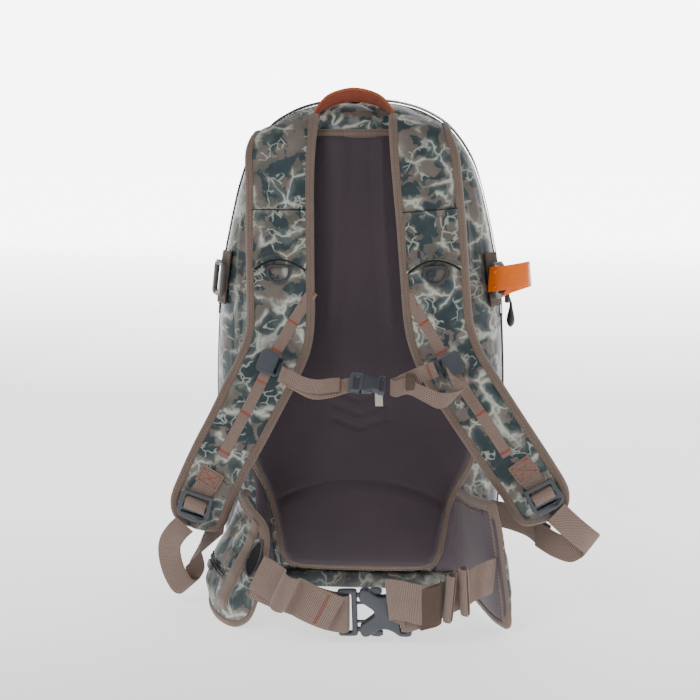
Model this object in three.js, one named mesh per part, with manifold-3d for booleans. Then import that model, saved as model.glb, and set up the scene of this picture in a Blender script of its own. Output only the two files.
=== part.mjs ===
// Tackle backpack: a zip-over-the-top fishing pack with a padded harness and a hip belt.
// Millimetres, +Z up, X across the back, -Y towards the wearer. The origin is the middle of the base.
import * as THREE from "three";
import { mergeVertices } from "three/addons/utils/BufferGeometryUtils.js";
import Module from "manifold-3d";

const wasm = await Module();
wasm.setup();

// ---------------------------------------------------------------- driving dimensions
const GAP = 0.4; // clearance between pieces that touch
const WALL = 3; // coated fabric with its lining
const BOOT = 4; // thickness of the base boot
const ZIP_Y = -15; // plane of the zip that runs over the top
const ZIP_HALF_GAP = 2.2; // half the slot that the zip closes
const HINGE_Z = 300; // the front flap folds down about this height
const TAPE = 1.6; // webbing and binding thickness
const HANDLE_GAP = 4.6; // the haul handle's feet stand clear of the bag, so that it can swing
const PANEL_X = 6; // centre of the back panel
const PANEL_T = 9; // thickness of the back panel foam
const STRAP_T = 10; // thickness of a shoulder pad
const BIND = 3.2; // width of the edge binding beyond the pad
const BELT_W = 38; // hip belt webbing
const STERNUM_W = 17; // sternum webbing
const WING_T = 9; // thickness of a hip wing
const BUCKLE = { width: 50, female: 53, male: 20, thick: 11 };
const SMALL_BUCKLE = { width: 24, female: 24, male: 12, thick: 7 };

// Bag profile from the base up: [z, half width, back y, front y, squareness].
const PROFILE = [
  [0, 136, -74, 78, 3.6],
  [12, 147, -84, 90, 3.6],
  [40, 154, -88, 95, 3.5],
  [120, 160, -88, 97, 3.4],
  [220, 162, -88, 97, 3.4],
  [312, 158, -88, 95, 3.3],
  [358, 152.5, -88, 91, 3.2],
  [392, 146, -88, 85, 3.1],
  [425, 138.5, -87, 77, 3.0],
  [448, 132, -86, 69, 2.9],
  [470, 123.5, -84, 59, 2.8],
  [492, 110, -79, 46, 2.6],
  [509, 95, -72, 34, 2.5],
  [520, 78, -64, 24, 2.4],
  [527, 62, -56, 16, 2.3],
  [532, 42, -45, 8, 2.2],
  [535, 18, -32, -2, 2.1],
];
const TOP_Z = PROFILE.at(-1)[0];

// ---------------------------------------------------------------- geometry helpers
const V = (x, y, z) => new THREE.Vector3(x, y, z);
const vec = (a) => new THREE.Vector3(...a);
const scene = new THREE.Group();

// A closed surface through rings that hold the same number of points.
function loft(rings, closed = false) {
  const n = rings[0].length;
  const points = rings.flat();
  const faces = [];
  const last = closed ? rings.length : rings.length - 1;
  for (let i = 0; i < last; i++) {
    const a = i * n;
    const b = ((i + 1) % rings.length) * n;
    for (let k = 0; k < n; k++) {
      const m = (k + 1) % n;
      faces.push(a + k, b + k, b + m, a + k, b + m, a + m);
    }
  }
  if (!closed) {
    [0, (rings.length - 1) * n].forEach((start, end) => {
      const middle = new THREE.Vector3();
      for (let k = 0; k < n; k++) middle.add(points[start + k]);
      const centre = points.push(middle.divideScalar(n)) - 1;
      for (let k = 0; k < n; k++) {
        const m = (k + 1) % n;
        if (end) faces.push(centre, start + m, start + k);
        else faces.push(centre, start + k, start + m);
      }
    });
  }
  let volume = 0;
  for (let i = 0; i < faces.length; i += 3) {
    const [a, b, c] = [0, 1, 2].map((j) => points[faces[i + j]]);
    volume += a.dot(b.clone().cross(c));
  }
  if (volume < 0) faces.reverse();
  const geometry = new THREE.BufferGeometry().setFromPoints(points);
  geometry.setIndex(faces);
  return geometry;
}

// A geometry as a manifold-3d solid, and back.
function solid(geometry) {
  const bare = geometry.clone();
  bare.deleteAttribute("normal");
  bare.deleteAttribute("uv");
  const merged = mergeVertices(bare, 1e-4);
  return new wasm.Manifold(
    new wasm.Mesh({
      numProp: 3,
      vertProperties: new Float32Array(merged.attributes.position.array),
      triVerts: new Uint32Array(merged.index.array),
    }),
  );
}

function geometryOf(body) {
  const mesh = body.getMesh();
  const geometry = new THREE.BufferGeometry();
  geometry.setAttribute("position", new THREE.BufferAttribute(new Float32Array(mesh.vertProperties), 3));
  geometry.setIndex(new THREE.BufferAttribute(new Uint32Array(mesh.triVerts), 1));
  return geometry;
}

const box = (x0, x1, y0, y1, z0, z1) =>
  solid(
    new THREE.BoxGeometry(x1 - x0, y1 - y0, z1 - z0).translate((x0 + x1) / 2, (y0 + y1) / 2, (z0 + z1) / 2),
  );

// A prism of an outline of [x, z] points, from y0 to y1.
function prism(outline, y0, y1) {
  const shape = new THREE.Shape(outline.map(([x, z]) => new THREE.Vector2(x, z)));
  const geometry = new THREE.ExtrudeGeometry(shape, { depth: y1 - y0, bevelEnabled: false });
  return solid(geometry.rotateX(Math.PI / 2).translate(0, y1, 0));
}

// Points along a smooth line through [a, b] corner points, closed.
const smoothLoop = (corners, count) =>
  new THREE.CatmullRomCurve3(
    corners.map(([x, z]) => V(x, 0, z)),
    true,
    "centripetal",
  )
    .getSpacedPoints(count)
    .slice(0, count)
    .map((p) => [p.x, p.z]);

// An outline moved outwards by d.
function grown(outline, d) {
  const n = outline.length;
  return outline.map(([x, z], i) => {
    const [xa, za] = outline[(i + n - 1) % n];
    const [xb, zb] = outline[(i + 1) % n];
    const long = Math.hypot(xb - xa, zb - za);
    return [x + (d * (zb - za)) / long, z - (d * (xb - xa)) / long];
  });
}

// Smooth values along a table of rows, at a share t from 0 to 1.
function along(rows, t) {
  const at = t * (rows.length - 1);
  const i = Math.min(rows.length - 2, Math.floor(at));
  const f = at - i;
  const row = (k) => rows[Math.max(0, Math.min(rows.length - 1, k))];
  return rows[0].map((_, c) => {
    const [a, b, d, e] = [row(i - 1)[c], row(i)[c], row(i + 1)[c], row(i + 2)[c]];
    return b + 0.5 * f * (d - a + f * (2 * a - 5 * b + 4 * d - e + f * (3 * (b - d) + e - a)));
  });
}

// A strip through stations [x, y, z, wx, wy, wz]: w runs across it, as long as the strip is wide.
class Strip {
  constructor(stations) {
    this.stations = stations;
  }
  frame(t) {
    const row = along(this.stations, t);
    const step = 1e-3;
    const before = along(this.stations, Math.max(0, t - step));
    const after = along(this.stations, Math.min(1, t + step));
    const tangent = V(after[0] - before[0], after[1] - before[1], after[2] - before[2]).normalize();
    const across = V(row[3], row[4], row[5]);
    const half = across.length() / 2;
    across.normalize();
    const normal = tangent.clone().cross(across).normalize();
    return { centre: V(row[0], row[1], row[2]), tangent, across, normal, half };
  }
  at(t, w, h) {
    const f = this.frame(t);
    return f.centre.addScaledVector(f.across, w).addScaledVector(f.normal, h);
  }
  // The share along the strip, and the offset across it, of the point nearest to [x, z].
  locate(x, z) {
    let best = null;
    for (let i = 0; i <= 400; i++) {
      const t = i / 400;
      const f = this.frame(t);
      const off = V(x, 0, z).sub(V(f.centre.x, 0, f.centre.z));
      const slip = Math.abs(off.dot(V(f.tangent.x, 0, f.tangent.z).normalize()));
      if (!best || slip < best.slip) best = { slip, t, w: off.dot(f.across) };
    }
    return best;
  }
  on(x, z, h) {
    const { t, w } = this.locate(x, z);
    return this.at(t, w, h);
  }
}

// A direction across a strip, as long as the strip is wide there.
const scaled = (width, x, y, z) => V(x, y, z).setLength(width).toArray();

// A plain band of webbing along stations, with a rectangular section.
function band(stations, thickness = TAPE, steps = 12) {
  const strip = new Strip(stations);
  const rings = [];
  for (let i = 0; i <= steps; i++) {
    const [a, b] = [strip.frame(i / steps).half, thickness / 2];
    rings.push(
      [
        [-a, -b],
        [a, -b],
        [a, b],
        [-a, b],
      ].map(([w, h]) => strip.at(i / steps, w, h)),
    );
  }
  return loft(rings);
}

// A band of one width, through stations that give only the direction across it.
const webbing = (stations, width, thickness = TAPE, steps = 12) =>
  band(stations.map(([x, y, z, ...w]) => [x, y, z, ...scaled(width, ...w)]), thickness, steps);

// A band that follows points lying on a strip, flat on its face.
function bandOn(strip, places, width, low, high, steps = 10) {
  const path = new THREE.CatmullRomCurve3(places.map(([x, z]) => V(x, 0, z)));
  const rings = [];
  for (let i = 0; i <= steps; i++) {
    const p = path.getPoint(i / steps);
    const q = path.getTangent(i / steps);
    const side = V(-q.z, 0, q.x).setLength(width / 2);
    const ends = [-1, 1].map((k) => strip.locate(p.x + k * side.x, p.z + k * side.z));
    rings.push([
      strip.at(ends[0].t, ends[0].w, low),
      strip.at(ends[1].t, ends[1].w, low),
      strip.at(ends[1].t, ends[1].w, high),
      strip.at(ends[0].t, ends[0].w, high),
    ]);
  }
  return loft(rings);
}

// A geometry drawn flat (x along, y across, z thick), moved so that its axes lie along the given directions.
function placed(geometry, origin, along3, across3) {
  const ex = vec(along3).normalize();
  const ez = ex.clone().cross(vec(across3)).normalize();
  const ey = ez.clone().cross(ex);
  const matrix = new THREE.Matrix4().makeBasis(ex, ey, ez).setPosition(vec(origin));
  return geometry.clone().applyMatrix4(matrix);
}

// A plate with rectangular holes [x0, x1, y0, y1], centred on z = 0.
function plate(outline, holes, thick) {
  const shape = new THREE.Shape(outline.map(([x, y]) => new THREE.Vector2(x, y)));
  const full = new THREE.ExtrudeGeometry(shape, { depth: thick, bevelEnabled: false }).translate(0, 0, -thick / 2);
  if (!holes.length) return full;
  return geometryOf(
    holes.reduce((body, [x0, x1, y0, y1]) => body.subtract(box(x0, x1, y0, y1, -thick, thick)), solid(full)),
  );
}

// A rectangle with its corners cut.
const octagon = (x0, x1, y0, y1, c) => [
  [x0 + c, y0], [x1 - c, y0], [x1, y0 + c], [x1, y1 - c],
  [x1 - c, y1], [x0 + c, y1], [x0, y1 - c], [x0, y0 + c],
];

function material(hex, roughness = 0.8, metalness = 0) {
  return new THREE.MeshStandardMaterial({ color: hex, roughness, metalness });
}

const CAMO = material(0x56605a, 0.6);
const FOAM = material(0x463c43, 0.85);
const WEBBING = material(0x7a6358, 0.9);
const PLASTIC = material(0x4a4950, 0.45);
const DARK = material(0x2c2b30, 0.6);
const RUST = material(0x8c3a26, 0.75);
const ORANGE = material(0xf2720c, 0.3);

function add(name, shape, finish, parent = scene) {
  const geometry = shape.isBufferGeometry ? shape : geometryOf(shape);
  const mesh = new THREE.Mesh(geometry, finish);
  mesh.name = name;
  parent.add(mesh);
  return mesh;
}

// ---------------------------------------------------------------- the bag
// The bag's outer form, grown by an offset, as one solid.
const RING_POINTS = 32;
function bag(offset) {
  const rings = PROFILE.map(([z, half, back, front, square]) => {
    const lift = (z / TOP_Z) * 2 * offset - offset;
    const middle = (back + front) / 2;
    const depth = (front - back) / 2 + offset;
    const ring = [];
    for (let k = 0; k < RING_POINTS; k++) {
      const angle = (2 * Math.PI * (k + 0.5)) / RING_POINTS;
      const [c, s] = [Math.cos(angle), Math.sin(angle)];
      const reach = (Math.abs(c) ** square + Math.abs(s) ** square) ** (-1 / square);
      ring.push(V((half + offset) * reach * c, middle + depth * reach * s, z + lift));
    }
    return ring;
  });
  return solid(loft(rings));
}

// The part of the skin between two offsets that lies in a region.
const skin = (low, high, region) => bag(high).subtract(bag(low)).intersect(region);
const FAR = 400;

function makeBag() {
  const shell = bag(0).subtract(bag(-WALL)).intersect(box(-FAR, FAR, -FAR, FAR, BOOT + GAP, FAR * 2));
  const back = box(-FAR, FAR, -FAR, ZIP_Y - ZIP_HALF_GAP, 0, FAR * 2);
  const lowFront = box(-FAR, FAR, ZIP_Y - ZIP_HALF_GAP + GAP, FAR, 0, HINGE_Z);
  const highFront = box(-FAR, FAR, ZIP_Y + ZIP_HALF_GAP, FAR, HINGE_Z + GAP, FAR * 2);
  add("rear_shell", shell.intersect(back), CAMO);
  add("front_shell", shell.intersect(lowFront), CAMO);
  add("front_flap", shell.intersect(highFront), CAMO);
  // The boot closes the base: a shallow plate with a flat underside.
  add("base_boot", bag(0).intersect(box(-FAR, FAR, -FAR, FAR, 0, BOOT)), DARK);
  const tape = 8;
  const rear = box(-FAR, FAR, ZIP_Y - ZIP_HALF_GAP - tape, ZIP_Y - ZIP_HALF_GAP, HINGE_Z, FAR * 2);
  const front = box(-FAR, FAR, ZIP_Y + ZIP_HALF_GAP, ZIP_Y + ZIP_HALF_GAP + tape, HINGE_Z + 2, FAR * 2);
  add("zip_tape_rear", skin(GAP, GAP + 1.4, rear), DARK);
  add("zip_tape_front", skin(GAP, GAP + 1.4, front), DARK);
}

// Zip slider with its tab, at the right-hand end of the track.
const SLIDER = { x: 164.5, y: ZIP_Y, z: 322 };
function makeZipSlider() {
  const body = plate(octagon(-9, 9, -6.5, 6.5, 2.5), [], 5);
  add("zip_slider", placed(body, [SLIDER.x, SLIDER.y, SLIDER.z], [0, 0, 1], [0, 1, 0]), PLASTIC);
  const drop = [];
  for (let k = 0; k < 18; k++) {
    const a = (2 * Math.PI * k) / 18;
    const wide = 3 + 3.4 * (0.5 - 0.5 * Math.cos(a)) ** 1.2;
    drop.push([-17 * Math.cos(a), wide * Math.sin(a)]);
  }
  const pull = placed(plate(drop, [], 4), [SLIDER.x + 5.5, SLIDER.y, SLIDER.z - 19], [0, 0, -1], [0, 1, 0]);
  add("zip_pull", pull, DARK);
}

// ---------------------------------------------------------------- back panel
const PANEL_CORNERS = [
  [-62, 497], [0, 499], [62, 497], [76, 480], [90, 400], [104, 300], [118, 210], [122, 165],
  [116, 140], [97, 104], [88, 58], [83, 30], [66, 15], [0, 12], [-66, 15], [-83, 30],
  [-88, 58], [-97, 104], [-116, 140], [-122, 165], [-118, 210], [-104, 300], [-90, 400], [-76, 480],
];
function makeBackPanel() {
  const outline = smoothLoop(PANEL_CORNERS.map(([x, z]) => [x + PANEL_X, z]).reverse(), 56);
  add("back_panel", skin(GAP, PANEL_T, prism(outline, -140, -40)), FOAM);
  const edge = prism(grown(outline, 6.5), -140, -40).subtract(prism(grown(outline, 0.4), -141, -39));
  add("panel_binding", skin(GAP, 5.5, edge), WEBBING);
}

// ---------------------------------------------------------------- front pocket, away from the wearer
const POCKET = { deep: 26, wall: 2.4, slotZ: 214, slotHalf: 84 };
const POCKET_CORNERS = [
  [-100, 40], [-60, 30], [0, 28], [60, 30], [100, 40], [112, 90], [112, 200],
  [98, 250], [50, 268], [0, 271], [-50, 268], [-98, 250], [-112, 200], [-112, 90],
];
function makeFrontPocket() {
  const outline = smoothLoop(POCKET_CORNERS, 32);
  const inside = prism(grown(outline, -POCKET.wall), 40, 160);
  const hollow = bag(POCKET.deep - POCKET.wall).intersect(inside);
  const slot = box(-POCKET.slotHalf, POCKET.slotHalf, 100, 160, POCKET.slotZ - 1.5, POCKET.slotZ + 1.5);
  const tray = skin(GAP, POCKET.deep, prism(outline, 40, 160)).subtract(hollow).subtract(slot);
  add("front_pocket", tray, CAMO);
  const puller = plate(octagon(-9, 9, -4.5, 4.5, 2), [], 4);
  add("pocket_zip_slider", placed(puller, [70, 125.8, POCKET.slotZ], [-1, 0, 0], [0, 0, 1]), PLASTIC);
}

// ---------------------------------------------------------------- top yoke and haul handle
function makeTop() {
  add("top_yoke", skin(GAP, 2, box(-112, 112, -120, -38, 508, 560)), CAMO);
  const handle = [
    [-46, -60, 511, ...scaled(12, 0.1, 0.99, 0)],
    [-42, -60, 523, ...scaled(15, 0.2, 0.95, -0.25)],
    [-28, -60, 535.5, ...scaled(20, 0.15, 0.85, -0.5)],
    [-3, -61, 541, ...scaled(21, 0, 0.8, -0.6)],
    [22, -60, 535.5, ...scaled(20, -0.15, 0.85, -0.5)],
    [36, -60, 523, ...scaled(15, -0.2, 0.95, -0.25)],
    [40, -60, 511, ...scaled(12, -0.1, 0.99, 0)],
  ];
  const arch = solid(band(handle, 2.2, 18));
  add("haul_handle", arch.subtract(bag(HANDLE_GAP)), RUST);
}

// ---------------------------------------------------------------- shoulder harness
// Stations down the middle of each pad: place, then the direction across it, as long as the pad is wide.
const across = (width, x, z) => [x * width, 0, z * width];
const LEFT_PAD = [
  [-74, -75, 508, ...across(66, 0.96, 0.28)],
  [-76, -92, 500, ...across(69, 0.965, 0.262)],
  [-77.5, -106, 482, ...across(68, 0.99, 0.14)],
  [-77.5, -113, 450, ...across(65, 1, 0.02)],
  [-77.2, -117, 405, ...across(65, 1, 0)],
  [-76.8, -120, 355, ...across(65, 1, 0)],
  [-76, -124, 310, ...across(65, 0.999, -0.05)],
  [-79, -129, 282, ...across(64, 0.97, -0.24)],
  [-90, -136, 254, ...across(62, 0.91, -0.41)],
  [-106, -143, 222, ...across(61, 0.885, -0.465)],
  [-121, -149, 192, ...across(60, 0.885, -0.465)],
  [-136, -154, 164, ...across(59, 0.885, -0.465)],
  [-149, -158, 137, ...across(58, 0.9, -0.436)],
  [-159, -160, 112, ...across(58, 0.93, -0.37)],
  [-164, -160, 88, ...across(54, 0.96, -0.28)],
];
const RIGHT_PAD = [
  [66.5, -75, 512, ...across(58, 0.985, -0.17)],
  [69, -92, 503, ...across(61, 0.985, -0.17)],
  [73.5, -106, 482, ...across(65, 0.997, -0.07)],
  [77, -113, 450, ...across(65, 0.998, 0.06)],
  [81.5, -117, 405, ...across(65, 0.996, 0.09)],
  [85.5, -120, 355, ...across(65, 0.996, 0.09)],
  [89.5, -124, 310, ...across(65, 0.985, 0.17)],
  [96, -129, 283, ...across(64, 0.95, 0.31)],
  [109, -136, 256, ...across(63, 0.88, 0.475)],
  [129, -143, 226, ...across(62, 0.84, 0.543)],
  [149, -149, 197, ...across(61, 0.83, 0.558)],
  [168, -154, 170, ...across(60, 0.83, 0.558)],
  [184, -158, 147, ...across(59, 0.83, 0.558)],
  [197, -160, 126, ...across(58, 0.86, 0.51)],
  [205, -160, 104, ...across(54, 0.92, 0.39)],
];
const TOP = STRAP_T / 2; // height of a pad's outer face above its middle
const PAD_STEPS = 32;

// Half width of a pad at a share t: full, then rounding in at the lower end.
function padHalf(strip, t) {
  const start = 0.93;
  const end = Math.max(0, (t - start) / (1 - start));
  return strip.frame(t).half * Math.sqrt(Math.max(0.08, 1 - end * end));
}

function padSolid(strip) {
  const rings = [];
  for (let i = 0; i <= PAD_STEPS; i++) {
    const t = i / PAD_STEPS;
    const a = padHalf(strip, t);
    const [e, b] = [Math.min(6, a / 2), TOP];
    const section = [
      [-a, -b + 2], [-a + e, -b], [a - e, -b], [a, -b + 2],
      [a, b - 2], [a - e, b], [-a + e, b], [-a, b - 2],
    ];
    rings.push(section.map(([w, h]) => strip.at(t, w, h)));
  }
  return loft(rings);
}

// The edge binding: a narrow strip round the two sides and the lower end of a pad.
function padBinding(strip) {
  const edge = [];
  for (let i = 0; i <= PAD_STEPS; i++) edge.push([i / PAD_STEPS, -1]);
  for (let i = PAD_STEPS; i >= 0; i--) edge.push([i / PAD_STEPS, 1]);
  const place = ([t, side], h) => strip.at(t, side * padHalf(strip, t), h);
  const rings = edge.map((station, i) => {
    const a = place(edge[Math.max(0, i - 1)], 0);
    const b = place(edge[Math.min(edge.length - 1, i + 1)], 0);
    const normal = strip.frame(station[0]).normal;
    const out = b.sub(a).normalize().cross(normal).normalize();
    const corner = (reach, h) => place(station, h).addScaledVector(out, reach);
    return [corner(GAP, -TOP + 1), corner(GAP + BIND, -TOP + 1), corner(GAP + BIND, TOP), corner(GAP, TOP)];
  });
  return loft(rings);
}

// The flap over the upper chest: it lifts away from the pad towards its curved hem.
function strapPocket(strip, topZ, hemZ) {
  const x = (z) => strip.frame(strip.locate(0, z).t).centre.x;
  const [start, hem] = [strip.locate(x(topZ), topZ).t, strip.locate(x(hemZ), hemZ).t];
  const rings = [];
  for (let i = 0; i <= 6; i++) {
    const f = i / 6;
    const columns = [-1, -0.6, -0.2, 0.2, 0.6, 1];
    const lift = (w) => TOP + GAP + 4.6 * f * f * (1 - 0.6 * w * w);
    const t = (w) => start + (hem - start - 0.012 * (1 - w * w) * f) * f;
    const half = (w) => w * (padHalf(strip, start) - 1);
    const low = columns.map((w) => strip.at(t(w), half(w), lift(w)));
    const high = columns.map((w) => strip.at(t(w), half(w), lift(w) + 1.3)).reverse();
    rings.push([...low, ...high]);
  }
  return loft(rings);
}

// D-ring that hangs from under the hem: a closed loop of round wire.
const RING = { radius: 11.5, wire: 1.9 };
function dRing(strip, x, z) {
  const f = strip.frame(strip.locate(x, z).t);
  const centre = strip.on(x, z, TOP + GAP + RING.wire);
  const path = [];
  for (let k = 0; k <= 12; k++) {
    const a = (Math.PI * k) / 12;
    path.push([Math.cos(a) * RING.radius, -Math.sin(a) * RING.radius]);
  }
  path.push([-RING.radius * 0.96, 5], [-4, 6], [4, 6], [RING.radius * 0.96, 5]);
  const rings = path.map(([w, down], i) => {
    const [a, b] = [path[(i + path.length - 1) % path.length], path[(i + 1) % path.length]];
    const t2 = new THREE.Vector2(b[0] - a[0], b[1] - a[1]).normalize();
    const ring = [];
    for (let k = 0; k < 6; k++) {
      const q = (2 * Math.PI * k) / 6;
      const side = Math.cos(q) * RING.wire;
      const w2 = w + t2.y * side;
      const d2 = down - t2.x * side;
      const p = centre.clone().addScaledVector(f.across, w2).addScaledVector(f.tangent, -d2);
      ring.push(p.addScaledVector(f.normal, Math.sin(q) * RING.wire));
    }
    return ring;
  });
  return loft(rings, true);
}

// Ladder lock: a frame with two slots and a lip, lying on the strap's lower end.
function ladderLock(strip, x, z) {
  const f = strip.frame(strip.locate(x, z).t);
  const outline = [
    [-13, -16], [9, -18], [15, -14], [17, -6], [17, 6], [15, 14], [9, 18], [-13, 16],
  ];
  const flat = plate(outline, [[-9.5, -5, -12.5, 12.5], [-1.5, 4.5, -12.5, 12.5], [7.5, 10.5, -12.5, 12.5]], 4.6);
  const centre = strip.on(x, z, TOP + GAP + 6);
  return placed(flat, centre.toArray(), f.tangent.toArray(), f.across.toArray());
}

// Sternum slider: a clip that bridges the ladder webbing and carries a bar for the chest strap.
function sternumSlider(strip, x, z, toward) {
  const f = strip.frame(strip.locate(x, z).t);
  const holes = toward > 0 ? [[6.5, 10, -8.8, 8.8]] : [[-10, -6.5, -8.8, 8.8]];
  const flat = plate(octagon(-13, 13, -12, 12, 3), holes, 4.4);
  const centre = strip.on(x, z, TOP + GAP + TAPE + GAP + 2.6);
  return placed(flat, centre.toArray(), f.across.toArray(), f.tangent.clone().negate().toArray());
}

const HARNESS = {
  left: {
    pad: new Strip(LEFT_PAD),
    daisy: [[-49, 326], [-63, 303], [-82, 268], [-100, 232], [-117, 199], [-135, 165]],
    patch: [[-143, 151], [-152, 135]],
    lock: [-162, 115],
    ring: [-77.5, 357],
    slider: [-86, 261],
    toward: 1,
  },
  right: {
    pad: new Strip(RIGHT_PAD),
    daisy: [[62, 326], [76, 304], [98, 268], [121, 234], [143, 203], [164, 171]],
    patch: [[174, 166], [187, 150]],
    lock: [201, 132],
    ring: [86.5, 357],
    slider: [104, 262],
    toward: -1,
  },
};

function makeHarness() {
  for (const [side, h] of Object.entries(HARNESS)) {
    add("shoulder_pad_" + side, padSolid(h.pad), CAMO);
    add("pad_binding_" + side, padBinding(h.pad), WEBBING);
    add("strap_pocket_" + side, strapPocket(h.pad, 422, 361), CAMO);
    add("ladder_webbing_" + side, bandOn(h.pad, h.daisy, 10, TOP + GAP, TOP + GAP + TAPE), WEBBING);
    add("adjuster_patch_" + side, bandOn(h.pad, h.patch, 26, TOP + GAP, TOP + GAP + 2, 4), WEBBING);
    add("d_ring_" + side, dRing(h.pad, ...h.ring), PLASTIC);
    add("ladder_lock_" + side, ladderLock(h.pad, ...h.lock), PLASTIC);
    add("sternum_slider_" + side, sternumSlider(h.pad, ...h.slider, h.toward), PLASTIC);
  }
  const leftWeb = [
    [-73, -158, 255, 0.35, 0, 0.94],
    [-56, -165, 247, 0.3, 0, 0.95],
    [-38, -168, 240, 0.15, 0.1, 0.97],
    [-22, -168, 241, 0, 0.3, 0.95],
    [-2, -166.5, 245, 0, 0.6, 0.8],
  ];
  add("sternum_webbing_left", webbing(leftWeb, STERNUM_W, 1.4, 10), WEBBING);
  // The right webbing comes from its slider, turns round the buckle's bar and hangs back in a loose loop.
  const rightWeb = [
    [88, -158, 262, -0.4, 0, 0.91],
    [74, -163, 257, -0.3, 0, 0.95],
    [57, -166, 250, -0.15, 0.2, 0.96],
    [47, -164.5, 245.5, 0, 0.4, 0.91],
    [42.5, -168, 244.5, 0, 0.4, 0.91],
    [48, -172, 243, 0, 0.4, 0.91],
    [60, -173, 246, -0.1, 0.2, 0.97],
    [82, -174, 241, -0.1, 0.1, 0.97],
    [104, -173, 236, 0.2, 0, 0.95],
    [116, -170, 245, 0.7, -0.1, 0.6],
    [112, -168, 258, 0.9, -0.2, 0.3],
  ];
  add("sternum_webbing_right", webbing(rightWeb, STERNUM_W, 1.4, 36), WEBBING);
}

// ---------------------------------------------------------------- buckles
// Side-release buckle drawn flat: x along the pull, y across, z thick. The socket opens towards -x at x = 0.
function socketBody({ width, female, thick }) {
  const [w, l] = [width / 2, female];
  const outline = [
    [0, -w], [l * 0.3, -w * 0.98], [l * 0.42, -w * 0.8], [l * 0.6, -w * 0.7], [l * 0.74, -w * 0.94],
    [l - 3, -w], [l, -w * 0.92], [l, w * 0.92], [l - 3, w],
    [l * 0.74, w * 0.94], [l * 0.6, w * 0.7], [l * 0.42, w * 0.8], [l * 0.3, w * 0.98], [0, w],
  ];
  const slot = [[l * 0.78, l * 0.9, -w * 0.82, w * 0.82]];
  const body = solid(plate(outline, slot, thick));
  const cavity = solid(plate(octagon(-1, l * 0.66, -w * 1.1, w * 1.1, 0.5), [], thick * 0.56));
  const side = w * 0.5;
  const walls = solid(plate([[l * 0.5, -side], [l * 0.66, -side], [l * 0.66, side], [l * 0.5, side]], [], thick * 0.6));
  return body.subtract(cavity.subtract(walls));
}

// The plug: a webbing bar and a middle tongue. Its two arms are separate, so that they can flex.
function plugBody({ width, female, male, thick }) {
  const w = width / 2;
  const frame = plate(octagon(-male, -0.6, -w * 0.96, w * 0.96, 2), [[-male * 0.68, -male * 0.3, -w * 0.82, w * 0.82]], thick * 0.8);
  const tongue = solid(plate(octagon(-3, female * 0.4, -w * 0.12, w * 0.12, 0.6), [], thick * 0.4));
  return solid(frame).add(tongue);
}

// One arm of the plug, on the side that sign gives, with its thumb pad in the socket's window.
function plugArm({ width, female, thick }, sign) {
  const w = (width / 2) * sign;
  const l = female;
  const outline = [
    [0, w * 0.5], [l * 0.2, w * 0.5], [l * 0.34, w * 0.62], [l * 0.46, w * 0.6], [l * 0.46, w * 0.94],
    [l * 0.34, w * 1.04], [l * 0.22, w * 0.86], [l * 0.12, w * 0.66], [0, w * 0.66],
  ];
  return plate(sign > 0 ? outline : outline.reverse(), [], thick * 0.44);
}

const BELT = { x: 15, y: -250, z: 32, along: [1, 0.02, 0.03], across: [0, -0.06, 1] };
const CHEST = { x: 13, y: -166, z: 247, along: [1, 0, -0.1], across: [0.06, 0.82, 0.57] };
const onBelt = (shape) =>
  placed(shape.isBufferGeometry ? shape : geometryOf(shape), [BELT.x, BELT.y, BELT.z], BELT.along, BELT.across);
const onChest = (shape) =>
  placed(shape.isBufferGeometry ? shape : geometryOf(shape), [CHEST.x, CHEST.y, CHEST.z], CHEST.along, CHEST.across);

function makeBuckles() {
  add("belt_buckle_socket", onBelt(socketBody(BUCKLE)), PLASTIC);
  add("belt_buckle_plug", onBelt(plugBody(BUCKLE)), PLASTIC);
  add("buckle_arm_upper", onBelt(plugArm(BUCKLE, 1)), PLASTIC);
  add("buckle_arm_lower", onBelt(plugArm(BUCKLE, -1)), PLASTIC);
  add("sternum_buckle_socket", onChest(socketBody(SMALL_BUCKLE)), PLASTIC);
  const arms = [1, -1].map((sign) => solid(plugArm(SMALL_BUCKLE, sign).translate(-0.8, 0, 0)));
  const plug = plugBody(SMALL_BUCKLE).add(arms[0]).add(arms[1]);
  add("sternum_buckle_plug", onChest(plug), PLASTIC);
}

// ---------------------------------------------------------------- hip belt
// Each wing runs from the bag forwards and round the hip: bottom edge and top edge at each station.
const wingStations = (rows) =>
  rows.map(([bx, by, bz, tx, ty, tz]) => [
    (bx + tx) / 2, (by + ty) / 2, (bz + tz) / 2, tx - bx, ty - by, tz - bz,
  ]);
const LEFT_WING = wingStations([
  [-120, -95, 22, -116, -95, 112],
  [-138, -118, 12, -119, -112, 117],
  [-149, -150, 6, -113, -146, 121],
  [-140, -186, 4, -104, -182, 118],
  [-121, -212, 5, -93, -210, 108],
  [-101, -224, 14, -86, -224, 94],
]);
const RIGHT_WING = wingStations([
  [113, -95, 22, 113, -95, 118],
  [125, -120, 13, 119, -120, 124],
  [136, -155, 7, 126, -155, 128],
  [145, -192, 4, 136, -192, 134],
  [153, -220, 6, 149, -220, 138],
]);

const WING_STEPS = 14;
const WING_GAP = 0.8; // a wing is curved both ways, so its neighbours stand off further
function wingSolid(strip) {
  const rings = [];
  for (let i = 0; i <= WING_STEPS; i++) {
    const t = i / WING_STEPS;
    const [a, b] = [strip.frame(t).half - BIND, WING_T / 2];
    const section = [
      [-a, -b + 2], [-a + 5, -b], [a - 5, -b], [a, -b + 2],
      [a, b - 2], [a - 5, b], [-a + 5, b], [-a, b - 2],
    ];
    rings.push(section.map(([w, h]) => strip.at(t, w, h)));
  }
  return loft(rings);
}

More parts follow.
